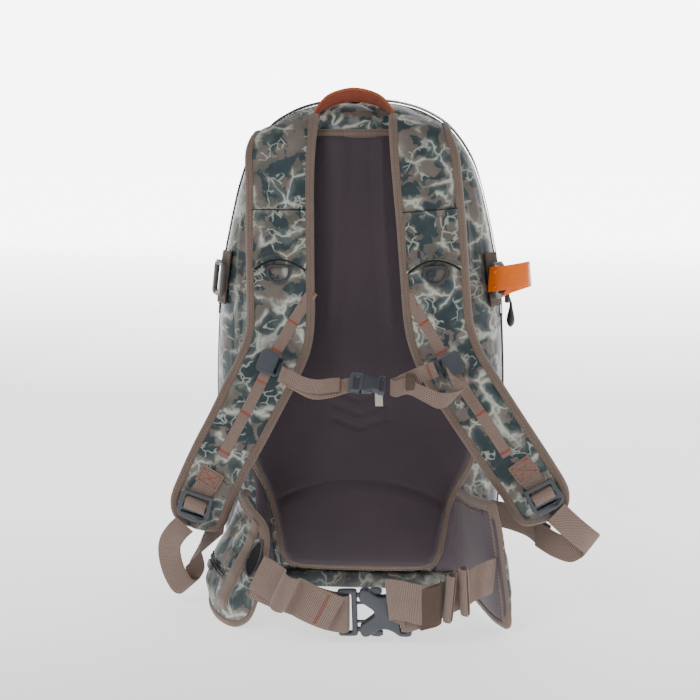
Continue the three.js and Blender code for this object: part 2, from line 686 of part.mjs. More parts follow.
// Binding along the top, round the tip and back along the bottom of a wing.
function wingBinding(strip) {
  const steps = WING_STEPS;
  const edge = [];
  for (let i = 1; i <= steps; i++) edge.push([i / steps, 1]);
  for (let i = steps; i >= 1; i--) edge.push([i / steps, -1]);
  const [low, high] = [-WING_T / 2 + 0.5, WING_T / 2 - 0.5];
  const rings = edge.map(([t, side], i) => {
    const reach = (w, h) => strip.at(t, side * (strip.frame(t).half - BIND + w), h);
    const tip = i === steps - 1 || i === steps;
    const ahead = strip.frame(t).tangent;
    const push = (p, d) => (tip ? p.addScaledVector(ahead, d) : p);
    return [
      push(reach(WING_GAP, low), GAP), push(reach(GAP + BIND, low), GAP + BIND),
      push(reach(GAP + BIND, high), GAP + BIND), push(reach(WING_GAP, high), GAP),
    ];
  });
  return loft(rings);
}

// Pocket on a wing's outer face, on the side of the strip that sign gives: [share of the half height, bulge].
const POCKET_SECTION = [[-0.84, 0], [0.7, 0], [0.42, 0.16], [0.14, 0.75], [-0.12, 1], [-0.55, 1], [-0.78, 0.6]];
const POCKET_BULGE = 11;
const SLIT = -0.15; // height of the pocket's zip, as a share of the half height
function pocketForm(strip, first, last, sign, section, low, high) {
  const rings = [];
  for (let i = first; i <= last; i++) {
    const f = (i - first) / (last - first);
    const t = i / WING_STEPS;
    const half = strip.frame(t).half - BIND;
    const swell = high * (0.2 + 0.8 * (1 - (2 * f - 1) ** 4));
    const height = (h) => sign * (WING_T / 2 + 2 * WING_GAP + low + swell * h);
    rings.push(section.map(([w, h]) => strip.at(t, w * half, height(h))));
  }
  return solid(loft(rings));
}

function wingPocket(strip, first, last, sign) {
  const outer = pocketForm(strip, first, last, sign, POCKET_SECTION, 0, POCKET_BULGE);
  const narrowed = POCKET_SECTION.map(([w, h]) => [w * 0.93, h]);
  const inner = pocketForm(strip, first + 0.35, last - 0.35, sign, narrowed, -WING_GAP, POCKET_BULGE - 1.4);
  const slit = [[SLIT - 0.03, 0.5], [SLIT + 0.03, 0.5], [SLIT + 0.03, 1.4], [SLIT - 0.03, 1.4]];
  return outer.subtract(inner).subtract(pocketForm(strip, first + 1, last - 1, sign, slit, 0, POCKET_BULGE));
}

const WINGS = {
  left: { strip: new Strip(LEFT_WING), outer: 1, pocket: [5, 13], slider: 0.6 },
  right: { strip: new Strip(RIGHT_WING), outer: -1, pocket: [4, 13], slider: 0.72 },
};

function makeHipBelt() {
  for (const [side, w] of Object.entries(WINGS)) {
    const [from, to] = w.pocket;
    add("hip_wing_" + side, wingSolid(w.strip), FOAM);
    add("wing_binding_" + side, wingBinding(w.strip), WEBBING);
    add("hip_pocket_" + side, wingPocket(w.strip, from, to, w.outer), CAMO);
    const f = w.strip.frame(w.slider);
    const height = WING_T / 2 + 2 * WING_GAP + POCKET_BULGE + 3.6;
    const centre = w.strip.at(w.slider, SLIT * f.half, w.outer * height);
    const flat = plate(octagon(-8, 8, -4, 4, 1.5), [], 3.4);
    const slider = placed(flat, centre.toArray(), f.tangent.toArray(), f.across.toArray());
    add("hip_zip_slider_" + side, slider, PLASTIC);
  }
  // The left webbing runs from the wing to the plug's bar, turns round it and lies back over itself.
  const leftWeb = [
    [-90, -233, 56, 0.38, 0, 0.92],
    [-66, -242, 49, 0.38, 0, 0.92],
    [-42, -245.5, 42, 0.3, 0, 0.95],
    [-26, -244.5, 36, 0.12, 0, 0.99],
    [-9, -243, 31.5, 0, 0, 1],
    [1, -242.5, 31.2, 0, 0, 1],
    [5.3, -246, 31.2, 0, 0, 1],
    [5.3, -254, 31.2, 0, 0, 1],
    [1, -257.5, 31.2, 0, 0, 1],
    [-9, -257.5, 32, 0.15, 0, 0.99],
    [-24, -259.5, 34, 0.4, 0, 0.92],
    [-42, -259.5, 42, 0.45, 0, 0.89],
    [-57, -256.5, 50, 0.45, 0, 0.89],
    [-68, -253, 55, 0.42, 0, 0.9],
  ];
  add("belt_webbing_left", webbing(leftWeb, BELT_W, 1.8, 48), WEBBING);
  // The right webbing comes from inside the wing, turns round the socket's bar and folds back on itself.
  const rightWeb = [
    [143, -222, 62, 0.1, 0, 0.99],
    [128, -234, 57, 0.05, 0, 0.99],
    [110, -241, 49, 0, 0, 1],
    [90, -242, 41, 0, 0, 1],
    [70, -240.5, 34.6, 0, 0, 1],
    [59.4, -243.5, 33.3, 0, 0, 1],
    [59.4, -254.5, 33.3, 0, 0, 1],
    [67, -258, 34.4, 0, 0, 1],
    [79, -259, 38.5, 0, 0, 1],
    [83.5, -261.4, 41, 0, 0, 1],
    [78, -263.8, 43, 0, 0, 1],
    [62, -264, 46, 0, 0, 1],
    [48, -261.5, 47.5, 0, 0, 1],
  ];
  add("belt_webbing_right", webbing(rightWeb, BELT_W, 1.8, 48), WEBBING);
}

// ---------------------------------------------------------------- side lash points and the rod loop
// The lash points sit on the bag's rear corners, and each buckle lies flat on the slant of the corner.
const LASH = { low: 309, high: 366, y0: -62, y1: -34, frameLow: 318, frameHigh: 357, x: 153.5, y: -51.2 };
function makeLashPoints() {
  const tape = box(-FAR, FAR, LASH.y0, LASH.y1, LASH.low, LASH.high);
  const tapes = skin(GAP, 2.4, tape);
  add("lash_tape_left", tapes.intersect(box(-FAR, 0, -FAR, FAR, 0, FAR)), WEBBING);
  add("lash_tape_right", tapes.intersect(box(0, FAR, -FAR, FAR, 0, FAR)), WEBBING);
  const middle = (LASH.frameLow + LASH.frameHigh) / 2;
  const tall = (LASH.frameHigh - LASH.frameLow) / 2;
  const frame = plate(octagon(-tall, tall, -13, 13, 4), [[-tall + 5.5, tall - 5.5, -7.5, 7.5]], 5);
  for (const [side, sign] of [["left", -1], ["right", 1]]) {
    const shape = placed(frame, [sign * LASH.x, LASH.y, middle], [-sign * 0.12, 0, 1], [sign * 0.49, 0.87, 0]);
    add("lash_buckle_" + side, shape, PLASTIC);
  }
  const loop = [
    [146, -70, 338, 0, 0.05, 1],
    [158, -73, 340, 0, 0.05, 1],
    [174, -72, 342, 0, 0.03, 1],
    [187, -65, 344, -0.05, 0, 1],
    [190, -54, 343, -0.08, 0, 1],
    [182, -46, 340, -0.06, -0.05, 1],
    [171, -46, 337, -0.02, -0.05, 1],
    [163, -51, 335, 0, -0.05, 1],
  ];
  add("rod_loop", webbing(loop, 27, 1.6, 24), ORANGE);
}

// ---------------------------------------------------------------- lower adjuster webbing
function makeAdjusters() {
  const left = [
    [-150, -60, 70, 0.1, 0.3, 0.95],
    [-162, -84, 66, 0.1, 0.1, 0.98],
    [-171, -108, 60, 0.15, 0, 0.98],
    [-174, -130, 56, 0.2, 0, 0.97],
  ];
  add("adjuster_webbing_left", webbing(left, 25, TAPE, 10), WEBBING);
  const right = [
    [151, -62, 84, -0.1, 0.3, 0.95],
    [170, -86, 88, -0.1, 0.2, 0.97],
    [190, -108, 91, -0.15, 0.1, 0.97],
    [206, -128, 90, -0.2, 0, 0.97],
  ];
  add("adjuster_webbing_right", webbing(right, 25, TAPE, 10), WEBBING);
  // Each tail leaves its ladder lock, turns and comes back towards the bag.
  const leftTail = [
    [-172.5, -173, 95.5, 0.6, 0, -0.8],
    [-184, -173, 87, 0.6, 0, -0.8],
    [-194, -169, 77, 0.75, 0.1, -0.62],
    [-193, -161, 62, 0.95, 0.1, -0.3],
    [-184, -153, 46, 0.93, 0.2, 0.2],
    [-178, -144, 44, 0.75, 0.3, 0.6],
    [-175, -136, 52, 0.4, 0.2, 0.88],
  ];
  add("webbing_tail_left", webbing(leftTail, 25, TAPE, 18), WEBBING);
  const rightTail = [
    [213, -174, 117, 0.66, 0, 0.75],
    [228, -174, 102, 0.66, 0, 0.75],
    [243, -171, 88, 0.66, 0, 0.75],
    [248, -163, 82, 0.6, 0, 0.8],
    [238, -155, 83, 0.45, 0, 0.9],
    [222, -147, 87, 0.3, 0, 0.95],
    [209, -137, 90, 0.25, 0, 0.97],
  ];
  add("webbing_tail_right", webbing(rightTail, 25, TAPE, 18), WEBBING);
}

makeBag();
makeZipSlider();
makeBackPanel();
makeFrontPocket();
makeTop();
makeHarness();
makeBuckles();
makeHipBelt();
makeLashPoints();
makeAdjusters();

export default scene;
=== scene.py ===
"""Looks of a tackle backpack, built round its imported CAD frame.

Lengths are in millimetres until a mesh is made.
"""

import math

import bmesh
import bpy
import numpy as np
from mathutils import Matrix, Vector, noise


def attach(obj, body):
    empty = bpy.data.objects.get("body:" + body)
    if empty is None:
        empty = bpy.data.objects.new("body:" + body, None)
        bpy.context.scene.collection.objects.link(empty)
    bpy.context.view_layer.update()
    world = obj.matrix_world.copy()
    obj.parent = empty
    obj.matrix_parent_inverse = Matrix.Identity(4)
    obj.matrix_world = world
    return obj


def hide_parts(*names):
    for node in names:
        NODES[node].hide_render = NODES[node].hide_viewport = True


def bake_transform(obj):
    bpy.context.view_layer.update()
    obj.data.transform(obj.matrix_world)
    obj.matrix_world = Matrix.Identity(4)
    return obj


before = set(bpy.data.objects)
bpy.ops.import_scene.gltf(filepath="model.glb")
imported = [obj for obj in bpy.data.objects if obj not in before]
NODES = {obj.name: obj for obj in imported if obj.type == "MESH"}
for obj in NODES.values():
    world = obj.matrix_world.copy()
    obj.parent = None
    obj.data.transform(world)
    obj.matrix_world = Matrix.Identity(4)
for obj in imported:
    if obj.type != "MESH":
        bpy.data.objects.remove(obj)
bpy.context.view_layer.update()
MM = 0.001
SIDES = ("left", "right")

# ------------------------------------------------------------ driving dimensions
ZIP_Y = -15
ZIP_HALF_GAP = 2.2
TOOTH_PITCH = 3.0
PANEL_X = 6
PAD_T = 10
BINDING = 8.5
BELT_W = 38
STERNUM_W = 17

# Bag profile from the base up: z, half width, back y, front y, squareness.
PROFILE = np.array([
    [0, 136, -74, 78, 3.6], [12, 147, -84, 90, 3.6], [40, 154, -88, 95, 3.5], [120, 160, -88, 97, 3.4],
    [220, 162, -88, 97, 3.4], [312, 158, -88, 95, 3.3], [358, 152.5, -88, 91, 3.2], [392, 146, -88, 85, 3.1],
    [425, 138.5, -87, 77, 3.0], [448, 132, -86, 69, 2.9], [470, 123.5, -84, 59, 2.8],
    [492, 110, -79, 46, 2.6], [509, 95, -72, 34, 2.5], [520, 78, -64, 24, 2.4], [527, 62, -56, 16, 2.3],
    [532, 42, -45, 8, 2.2], [535, 18, -32, -2, 2.1],
])


# ------------------------------------------------------------ numbers and strips
def unit(v):
    """Vectors scaled to a length of one."""
    return v / np.maximum(np.linalg.norm(v, axis=-1, keepdims=True), 1e-9)


def smooth(low, high, x):
    """0 below low, 1 above high, and an even curve between."""
    f = np.clip((x - low) / (high - low), 0, 1)
    return f * f * (3 - 2 * f)


def run_of(path):
    """Distance along a path at each of its points."""
    return np.concatenate([[0], np.cumsum(np.linalg.norm(np.diff(path, axis=0), axis=1))])


def section_uv(run, section):
    """Texture places of a section carried along a path: the run, and the offset across."""
    across = [w for w, _ in section]
    return np.stack([np.tile(run[:, None], (1, len(across))), np.tile(across, (len(run), 1))], axis=-1)


def curve_between(a, b, c, d, f):
    """A smooth curve from b to c at shares f of the way, with a and d beside them."""
    return b + 0.5 * f * (c - a + f * (2 * a - 5 * b + 4 * c - d + f * (3 * (b - c) + d - a)))


def along(rows, t):
    """Smooth values through a table of rows, at shares t from 0 to 1."""
    last = len(rows) - 1
    at = np.clip(np.asarray(t, float), 0, 1) * last
    i = np.minimum(last - 1, np.floor(at).astype(int))
    f = (at - i)[..., None]
    a, b = rows[np.maximum(i - 1, 0)], rows[i]
    c, d = rows[i + 1], rows[np.minimum(i + 2, last)]
    return curve_between(a, b, c, d, f)


def ripple(points, size, seed=0.0):
    """Smooth noise from -1 to 1 at points, with lumps of the given size."""
    flat = np.asarray(points, float).reshape(-1, 3) / size + seed
    values = [noise.noise(Vector(p)) for p in flat]
    return np.array(values).reshape(np.shape(points)[:-1])


class Strip:
    """A band through stations: x, y, z, then the direction across it, as long as the band is wide."""

    def __init__(self, stations, width=None):
        rows = np.array(stations, float)
        if width is not None:
            rows[:, 3:] = unit(rows[:, 3:]) * width
        self.rows = rows

    def frame(self, t):
        t = np.asarray(t, float)
        step = 1e-3
        row = along(self.rows, t)
        ahead, behind = along(self.rows, t + step), along(self.rows, t - step)
        tangent = unit(ahead[..., :3] - behind[..., :3])
        across = unit(row[..., 3:])
        normal = unit(np.cross(tangent, across))
        return row[..., :3], tangent, across, normal, np.linalg.norm(row[..., 3:], axis=-1) / 2

    def at(self, t, w, h):
        centre, _, across, normal, _ = self.frame(t)
        return centre + across * np.asarray(w, float)[..., None] + normal * np.asarray(h, float)[..., None]

    def length(self):
        places = along(self.rows, np.linspace(0, 1, 200))[:, :3]
        return float(np.linalg.norm(np.diff(places, axis=0), axis=1).sum())

    def locate(self, x, z):
        """The share along the strip, and the offset across it, nearest to x, z."""
        t = np.linspace(0, 1, 801)
        centre, tangent, across, _, _ = self.frame(t)
        off = np.array([x, 0, z]) - centre * [1, 0, 1]
        slip = np.abs((off * unit(tangent * [1, 0, 1])).sum(axis=1))
        best = int(slip.argmin())
        return float(t[best]), float((off[best] * across[best]).sum())


# ------------------------------------------------------------ meshes
class Shape:
    """Points, faces and texture places of one piece, gathered before it becomes a mesh."""

    def __init__(self):
        self.points, self.uvs, self.faces, self.finish, self.count = [], [], [], [], 0

    def grid(self, points, uv=None, wrap=False, caps=False, finish=0):
        """A surface through a grid of points; wrap closes it across, and caps fill its two ends."""
        rows, columns = points.shape[:2]
        self.points.append(points.reshape(-1, 3))
        self.uvs.append(np.zeros((rows * columns, 2)) if uv is None else uv.reshape(-1, 2))
        start = self.count
        across = columns if wrap else columns - 1
        for i in range(rows - 1):
            for k in range(across):
                m = (k + 1) % columns
                a, b = start + i * columns, start + (i + 1) * columns
                self.faces.append((a + k, b + k, b + m, a + m))
                self.finish.append(finish)
        if caps:
            self.faces.append(tuple(start + k for k in range(columns)))
            self.faces.append(tuple(start + (rows - 1) * columns + k for k in reversed(range(columns))))
            self.finish += [finish, finish]
        self.count += rows * columns
        return self

    def close(self, front, rear, rows, finish=0):
        """Joins two matching grids along both sides, and across them at the given rows."""
        for column in (0, -1):
            self.grid(np.stack([front[:, column], rear[:, column]], axis=1), finish=finish)
        for row in rows:
            self.grid(np.stack([front[row], rear[row]], axis=0), finish=finish)

    def mesh(self, name, finishes, body, cad=(), smooth_angle=60):
        """The piece, with its finishes, riding on a body and standing for CAD nodes."""
        made = bpy.data.meshes.new(name)
        points = np.concatenate(self.points) * MM
        made.from_pydata(points.tolist(), [], self.faces)
        layer = made.uv_layers.new(name="UVMap")
        corner = np.empty(len(made.loops), dtype=np.int32)
        made.loops.foreach_get("vertex_index", corner)
        layer.data.foreach_set("uv", np.concatenate(self.uvs)[corner].ravel())
        for finish in finishes:
            made.materials.append(finish)
        made.polygons.foreach_set("material_index", self.finish)
        return settle(name, made, body, cad, smooth_angle)


def settle(name, mesh, body, cad=(), smooth_angle=60):
    """Puts a mesh in the scene, turns its faces outwards and lets it ride on its body."""
    work = bmesh.new()
    work.from_mesh(mesh)
    bmesh.ops.remove_doubles(work, verts=work.verts, dist=1e-6)
    bmesh.ops.recalc_face_normals(work, faces=work.faces)
    work.to_mesh(mesh)
    work.free()
    mesh.shade_smooth()
    mesh.set_sharp_from_angle(angle=math.radians(smooth_angle))
    piece = bpy.data.objects.new(name, mesh)
    bpy.context.scene.collection.objects.link(piece)
    if body:
        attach(piece, body)
    if cad:
        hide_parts(*cad)
    return piece


def oval(half, thick, crown=0.0, count=20, square=2.6):
    """Points round a flat oval, as offsets across and heights; crown lifts its outer face."""
    angle = 2 * np.pi * (np.arange(count) + 0.5) / count
    c, s = np.cos(angle), np.sin(angle)
    w = half * np.sign(c) * np.abs(c) ** (2 / square)
    h = thick / 2 * np.sign(s) * np.abs(s) ** (2 / square)
    return w, h + crown * (s > 0) * (1 - (w / max(half, 1e-6)) ** 2)


def band(shape, strip, width, thick=1.7, steps=60, start=0.0, end=1.0, lift=0.0, finish=0):
    """A length of webbing with rounded edges along a strip."""
    t = np.linspace(start, end, steps)
    w, h = oval(width / 2, thick, count=14, square=5)
    points = strip.at(t[:, None] + 0 * w, np.tile(w, (steps, 1)), np.tile(h, (steps, 1)) + lift)
    run = np.linspace(0, strip.length() * (end - start), steps)
    uv = np.stack([np.tile(run[:, None], (1, len(w))), np.tile(w, (steps, 1))], axis=-1)
    return shape.grid(points, uv, wrap=True, caps=True, finish=finish)


def tube(shape, path, radius, sides=8, closed=False, finish=0):
    """A round tube along a path."""
    path = np.asarray(path, float)
    ahead = np.roll(path, -1, axis=0) - np.roll(path, 1, axis=0)
    if not closed:
        ahead[0], ahead[-1] = path[1] - path[0], path[-1] - path[-2]
    tangent = unit(ahead)
    spread = path.max(axis=0) - path.min(axis=0)
    hint = np.eye(3)[int(spread.argmin())]
    side = unit(np.cross(tangent, hint))
    up = np.cross(side, tangent)
    angle = 2 * np.pi * np.arange(sides) / sides
    ring = side[:, None] * np.cos(angle)[:, None] + up[:, None] * np.sin(angle)[:, None]
    points = path[:, None] + ring * np.broadcast_to(np.asarray(radius, float), len(path))[:, None, None]
    if closed:
        points = np.concatenate([points, points[:1]])
    return shape.grid(points, wrap=True, caps=not closed, finish=finish)


def resample(path, pitch):
    """Points along a path at an even pitch, and their directions."""
    path = np.asarray(path, float)
    run = run_of(path)
    count = max(2, int(run[-1] / pitch))
    at = (np.arange(count) + 0.5) * run[-1] / count
    places = np.stack([np.interp(at, run, path[:, k]) for k in range(3)], axis=1)
    ahead = np.stack([np.interp(at + 0.5, run, path[:, k]) for k in range(3)], axis=1)
    return places, unit(ahead - places + 1e-9)


def stitch(shape, path, pitch=3.6, long=2.5, radius=0.42, finish=0):
    """A row of thread stitches along a path."""
    places, ahead = resample(path, pitch)
    reach = np.array([-0.5, -0.3, 0.3, 0.5])[:, None] * long
    size = np.array([0.25, 1, 1, 0.25]) * radius
    for place, direction in zip(places, ahead):
        side = unit(np.cross(direction, [0.3, 0.8, 0.52]))
        up = np.cross(side, direction)
        angle = 2 * np.pi * np.arange(5) / 5
        ring = side * np.cos(angle)[:, None] + up * np.sin(angle)[:, None]
        rings = place + (reach * direction)[:, None] + ring[None] * size[:, None, None]
        shape.grid(rings, wrap=True, finish=finish)
    return shape


def moulded(name, outline, holes, thick, finish, body, place, bevel=0.9, cad=(), warp=None):
    """A moulded plate with round edges, drawn flat and laid at place = (origin, along, across)."""
    curve = bpy.data.curves.new(name + "_outline", "CURVE")
    curve.dimensions, curve.fill_mode = "2D", "BOTH"
    curve.extrude, curve.bevel_depth, curve.bevel_resolution = thick / 2 - bevel, bevel, 2
    curve.offset = -bevel
    for loop in (outline, *holes):
        spline = curve.splines.new("POLY")
        spline.points.add(len(loop) - 1)
        for point, (x, y) in zip(spline.points, loop):
            point.co = (x, y, 0, 1)
        spline.use_cyclic_u = True
    drawn = bpy.data.objects.new(name + "_drawn", curve)
    mesh = bpy.data.meshes.new_from_object(drawn)
    bpy.data.objects.remove(drawn)
    bpy.data.curves.remove(curve)
    mesh.name = name
    mesh.materials.clear()
    mesh.materials.append(finish)
    origin, ex, ey = (np.array(v, float) for v in place)
    ex = unit(ex)
    ez = unit(np.cross(ex, ey))
    ey = np.cross(ez, ex)
    for vertex in mesh.vertices:
        x, y, z = vertex.co
        if warp:
            z += warp(x, y)
        vertex.co = Vector((origin + ex * x + ey * y + ez * z) * MM)
    return settle(name, mesh, body, cad, 35)


def rounded(x0, x1, y0, y1, radius, steps=5):
    """A rectangle with round corners."""
    radius = min(radius, (x1 - x0) / 2 - 0.01, (y1 - y0) / 2 - 0.01)
    corners = ((x1, y1, 0), (x0, y1, 1), (x0, y0, 2), (x1, y0, 3))
    loop = []
    for x, y, quarter in corners:
        cx = x - radius if x == x1 else x + radius
        cy = y - radius if y == y1 else y + radius
        for k in range(steps + 1):
            angle = math.pi / 2 * (quarter + k / steps)
            loop.append((cx + radius * math.cos(angle), cy + radius * math.sin(angle)))
    return loop


def soft_loop(corners, count=64):
    """A smooth closed line through corner points."""
    pts = np.array(corners, float)
    n = len(pts)
    t = np.arange(count) / count * n
    i = np.floor(t).astype(int)
    f = (t - i)[:, None]
    a, b, c, d = (pts[(i + k) % n] for k in (-1, 0, 1, 2))
    return [tuple(p) for p in curve_between(a, b, c, d, f)]


# ------------------------------------------------------------ materials
def srgb(code):
    """A colour from its hex code."""
    values = [int(code[i:i + 2], 16) / 255 for i in (0, 2, 4)]
    return tuple(v / 12.92 if v <= 0.04045 else ((v + 0.055) / 1.055) ** 2.4 for v in values) + (1.0,)


def scaled(colour, factor, lift=0.0):
    """A colour made lighter or darker."""
    return tuple(min(1.0, c * factor + lift) for c in colour[:3]) + (1.0,)


class Finish:
    """A material whose nodes are added one call at a time."""

    def __init__(self, name, **constants):
        self.material = bpy.data.materials.new(name)
        self.material.use_nodes = True
        self.tree = self.material.node_tree
        self.surface = self.tree.nodes["Principled BSDF"]
        for socket, value in constants.items():
            self.surface.inputs[socket.replace("_", " ")].default_value = value

    def node(self, kind, inputs=None, output=0, **settings):
        made = self.tree.nodes.new("ShaderNode" + kind)
        for key, value in settings.items():
            setattr(made, key, value)
        for key, value in (inputs or {}).items():
            if isinstance(value, bpy.types.NodeSocket):
                self.tree.links.new(value, made.inputs[key])
            else:
                made.inputs[key].default_value = value
        return made.outputs[output]

    def math(self, operation, a, b=0.0, clamp=False):
        return self.node("Math", {0: a, 1: b}, operation=operation, use_clamp=clamp)

    def fade(self, value, low, high):
        """0 where value is low, 1 where it is high."""
        inputs = {"Value": value, "From Min": low, "From Max": high}
        return self.node("MapRange", inputs, interpolation_type="SMOOTHSTEP")

    def span(self, value, low, high, start=0.0, end=1.0):
        """A value between start and end, spread evenly from low to high."""
        inputs = {"Value": value, "From Min": start, "From Max": end, "To Min": low, "To Max": high}
        return self.node("MapRange", inputs)

    def cells(self, place, scale, randomness=1.0, feature="F1"):
        inputs = {"Vector": place, "Scale": scale, "Randomness": randomness}
        return self.node("TexVoronoi", inputs, feature=feature)

    def mix(self, share, a, b):
        made = self.tree.nodes.new("ShaderNodeMix")
        made.data_type = "RGBA"
        for socket, value in ((0, share), (6, a), (7, b)):
            if isinstance(value, bpy.types.NodeSocket):
                self.tree.links.new(value, made.inputs[socket])
            else:
                made.inputs[socket].default_value = value
        return made.outputs[2]

    def noise(self, place, scale, detail=2.0, rough=0.5, colour=False):
        inputs = {"Vector": place, "Scale": scale, "Detail": detail, "Roughness": rough}
        return self.node("TexNoise", inputs, output=1 if colour else 0)

    def object_place(self):
        return self.node("TexCoord", output=3)

    def cloth_place(self):
        """Millimetres along and across a piece, from its texture map."""
        return self.node("TexCoord", output=2)

    def wave(self, place, period, direction="X"):
        """Ribs at a period in the units of place."""
        inputs = {"Vector": place, "Scale": math.pi / (10 * period), "Detail": 0.0}
        return self.node("TexWave", inputs, output=1, bands_direction=direction, wave_profile="SIN")

    def bump(self, height, strength, distance, below=None):
        inputs = {"Height": height, "Strength": strength, "Distance": distance}
        if below is not None:
            inputs["Normal"] = below
        return self.node("Bump", inputs)

    def done(self, colour=None, rough=None, normal=None):
        for name, value in (("Base Color", colour), ("Roughness", rough), ("Normal", normal)):
            if value is not None:
                self.tree.links.new(value, self.surface.inputs[name])
        return self.material


def camo(name, coat=0.12, shift=0.0, painted_reflection=0.0, painted_shade=0.0):
    """Coated fabric: taupe ground, dark pools and thin broken pale lines, over a fine diagonal weave; it can
    be darkened all over as painted shade and given pale vertical streaks as painted reflections.
    """
    f = Finish(name, Coat_Weight=coat, Coat_Roughness=0.3, Sheen_Weight=0.03, Specular_IOR_Level=0.4)
    moved = {"Vector": f.object_place(), "Location": (shift, shift * 0.7, -shift), "Scale": (1, 0.8, 1)}
    place = f.node("Mapping", moved)
    bend = f.noise(place, 36, 3, 0.55, colour=True)
    bend = f.node("VectorMath", {0: bend, 1: (0.5, 0.5, 0.5)}, operation="SUBTRACT")
    bend = f.node("VectorMath", {0: bend, "Scale": 0.03}, operation="SCALE")
    bent = f.node("VectorMath", {0: place, 1: bend}, operation="ADD")
    edge = f.cells(bent, 34, 0.9, "DISTANCE_TO_EDGE")
    ragged = f.noise(bent, 110, 3, 0.6)
    blot = f.noise(bent, 42, 3, 0.56)
    blot = f.math("ADD", blot, f.math("MULTIPLY", f.fade(edge, 0.0, 0.2), 0.12))
    pool = f.fade(blot, 0.545, 0.57)
    slant = f.node("Mapping", {"Vector": f.cloth_place(), "Rotation": (0, 0, math.radians(45))})
    weave = f.math("MULTIPLY", f.wave(slant, 1.15), f.wave(slant, 1.15, "Y"))
    ground = f.mix(f.noise(bent, 60, 3), srgb("4d4541"), srgb("80756d"))
    olive = f.fade(f.noise(bent, 48, 2), 0.52, 0.6)
    ground = f.mix(f.math("MULTIPLY", olive, 0.7), ground, srgb("50554c"))
    ground = f.mix(f.math("MULTIPLY", weave, 0.5), ground, srgb("2e2e2c"))
    deep = f.mix(f.noise(place, 90, 3), srgb("1a2529"), srgb("33464b"))
    body = f.mix(pool, ground, deep)
    width = f.span(f.noise(place, 34, 2), 0.025, 0.13, 0.36, 0.66)
    near = f.math("SUBTRACT", 1.0, f.math("DIVIDE", edge, width), clamp=True)
    broken = f.fade(f.noise(place, 26, 2), 0.455, 0.56)
    core = f.math("MULTIPLY", near, broken)
    halo = f.math("SUBTRACT", 1.0, f.fade(edge, 0.02, 0.3))
    halo = f.math("MULTIPLY", halo, broken)
    halo = f.math("MULTIPLY", halo, f.math("ADD", f.math("MULTIPLY", weave, 0.36), 0.06))
    fine = f.cells(bent, 75, 1.0, "DISTANCE_TO_EDGE")
    thin = f.math("SUBTRACT", 1.0, f.fade(fine, 0.01, 0.09))
    thin = f.math("MULTIPLY", thin, f.fade(f.noise(place, 45, 1), 0.53, 0.6))
    pale = f.math("MAXIMUM", f.math("MAXIMUM", core, halo), f.math("MULTIPLY", thin, 0.6))
    light = f.mix(ragged, srgb("8f978a"), srgb("e2e5da"))
    colour = f.mix(f.math("MULTIPLY", pale, 0.95, clamp=True), body, light)
    # Mixes the whole fabric towards near black: painted shade.
    colour = f.mix(painted_shade, colour, srgb("161614"))
    # Pale vertical streaks: painted reflections on the coated fabric.
    if painted_reflection:
        run = f.node("Mapping", {"Vector": f.object_place(), "Scale": (95, 95, 9)})
        lines = f.fade(f.noise(run, 1.0, 3, 0.6), 0.52, 0.72)
        colour = f.mix(f.math("MULTIPLY", lines, painted_reflection), colour, srgb("aab0aa"))
    normal = f.bump(f.noise(place, 55, 3), 0.16, 0.002)
    normal = f.bump(weave, 0.25, 0.00014, normal)
    rough = f.span(f.noise(place, 45, 3), 0.42, 0.6)
    return f.done(colour, rough, normal)


def webbing(name, light, dark, rib=1.25, period=2.1):
    """Woven nylon: fine ribs across and a herringbone along it, painted darker in the grooves as painted
    shade.
    """
    f = Finish(name, Sheen_Weight=0.25, Sheen_Roughness=0.5, Specular_IOR_Level=0.3)
    place = f.cloth_place()
    ribs = f.wave(place, rib, "X")
    cords = f.wave(place, period, "Y")
    slant = f.wave(f.node("Mapping", {"Vector": place, "Rotation": (0, 0, math.radians(38))}), rib * 1.1)
    cloth = f.math("MULTIPLY", f.math("ADD", ribs, slant), 0.5)
    wear = f.noise(f.object_place(), 70, 3, 0.6)
    # Grooves of the weave painted darker: painted shade.
    colour = f.mix(f.fade(cloth, 0.1, 0.75), dark, light)
    colour = f.mix(f.math("MULTIPLY", wear, 0.35), colour, dark)
    height = f.math("ADD", cloth, f.math("MULTIPLY", cords, 0.45))
    normal = f.bump(height, 0.55, 0.00035)
    return f.done(colour, f.span(wear, 0.72, 0.92), normal)


def foam(name, light, dark):
    """Moulded foam with a fine knitted face."""
    f = Finish(name, Sheen_Weight=0.18, Sheen_Roughness=0.45, Specular_IOR_Level=0.35)
    place = f.object_place()
    cloud = f.noise(place, 9, 3, 0.55)
    colour = f.mix(cloud, dark, light)
    knit = f.cells(place, 900)
    colour = f.mix(f.math("MULTIPLY", knit, 0.35), colour, dark)
    normal = f.bump(f.noise(place, 35, 3), 0.08, 0.002)
    normal = f.bump(knit, 0.25, 0.0003, normal)
    return f.done(colour, f.span(cloud, 0.6, 0.75), normal)


def mesh_cloth(name, light, dark):
    """Open knit with rows of small holes."""
    f = Finish(name, Sheen_Weight=0.2)
    place = f.cloth_place()
    holes = f.cells(place, 0.42, 0.1)
    gap = f.fade(holes, 0.22, 0.36)
    colour = f.mix(gap, dark, light)
    return f.done(colour, f.span(gap, 0.95, 0.7), f.bump(gap, 0.6, 0.0006))


def plastic(name, colour, rough=0.38, metal=0.0):
    """Moulded acetal with a faint texture, and painted highlights that lighten its sharp edges."""
    f = Finish(name, Metallic=metal, Coat_Weight=0.08, Coat_Roughness=0.3)
    place = f.object_place()
    cloud = f.noise(place, 120, 4, 0.6)
    light = scaled(colour, 1.5, 0.012)
    # Sharp edges, found from pointiness, are painted lighter: painted highlights.
    edge = f.node("NewGeometry", output=7)
    shade = f.mix(f.math("MULTIPLY", cloud, 0.35), colour, light)
    shade = f.mix(f.fade(edge, 0.52, 0.62), shade, light)
    grain = f.noise(place, 2500, 2)
    return f.done(shade, f.span(cloud, rough - 0.08, rough + 0.12), f.bump(grain, 0.12, 0.0001))


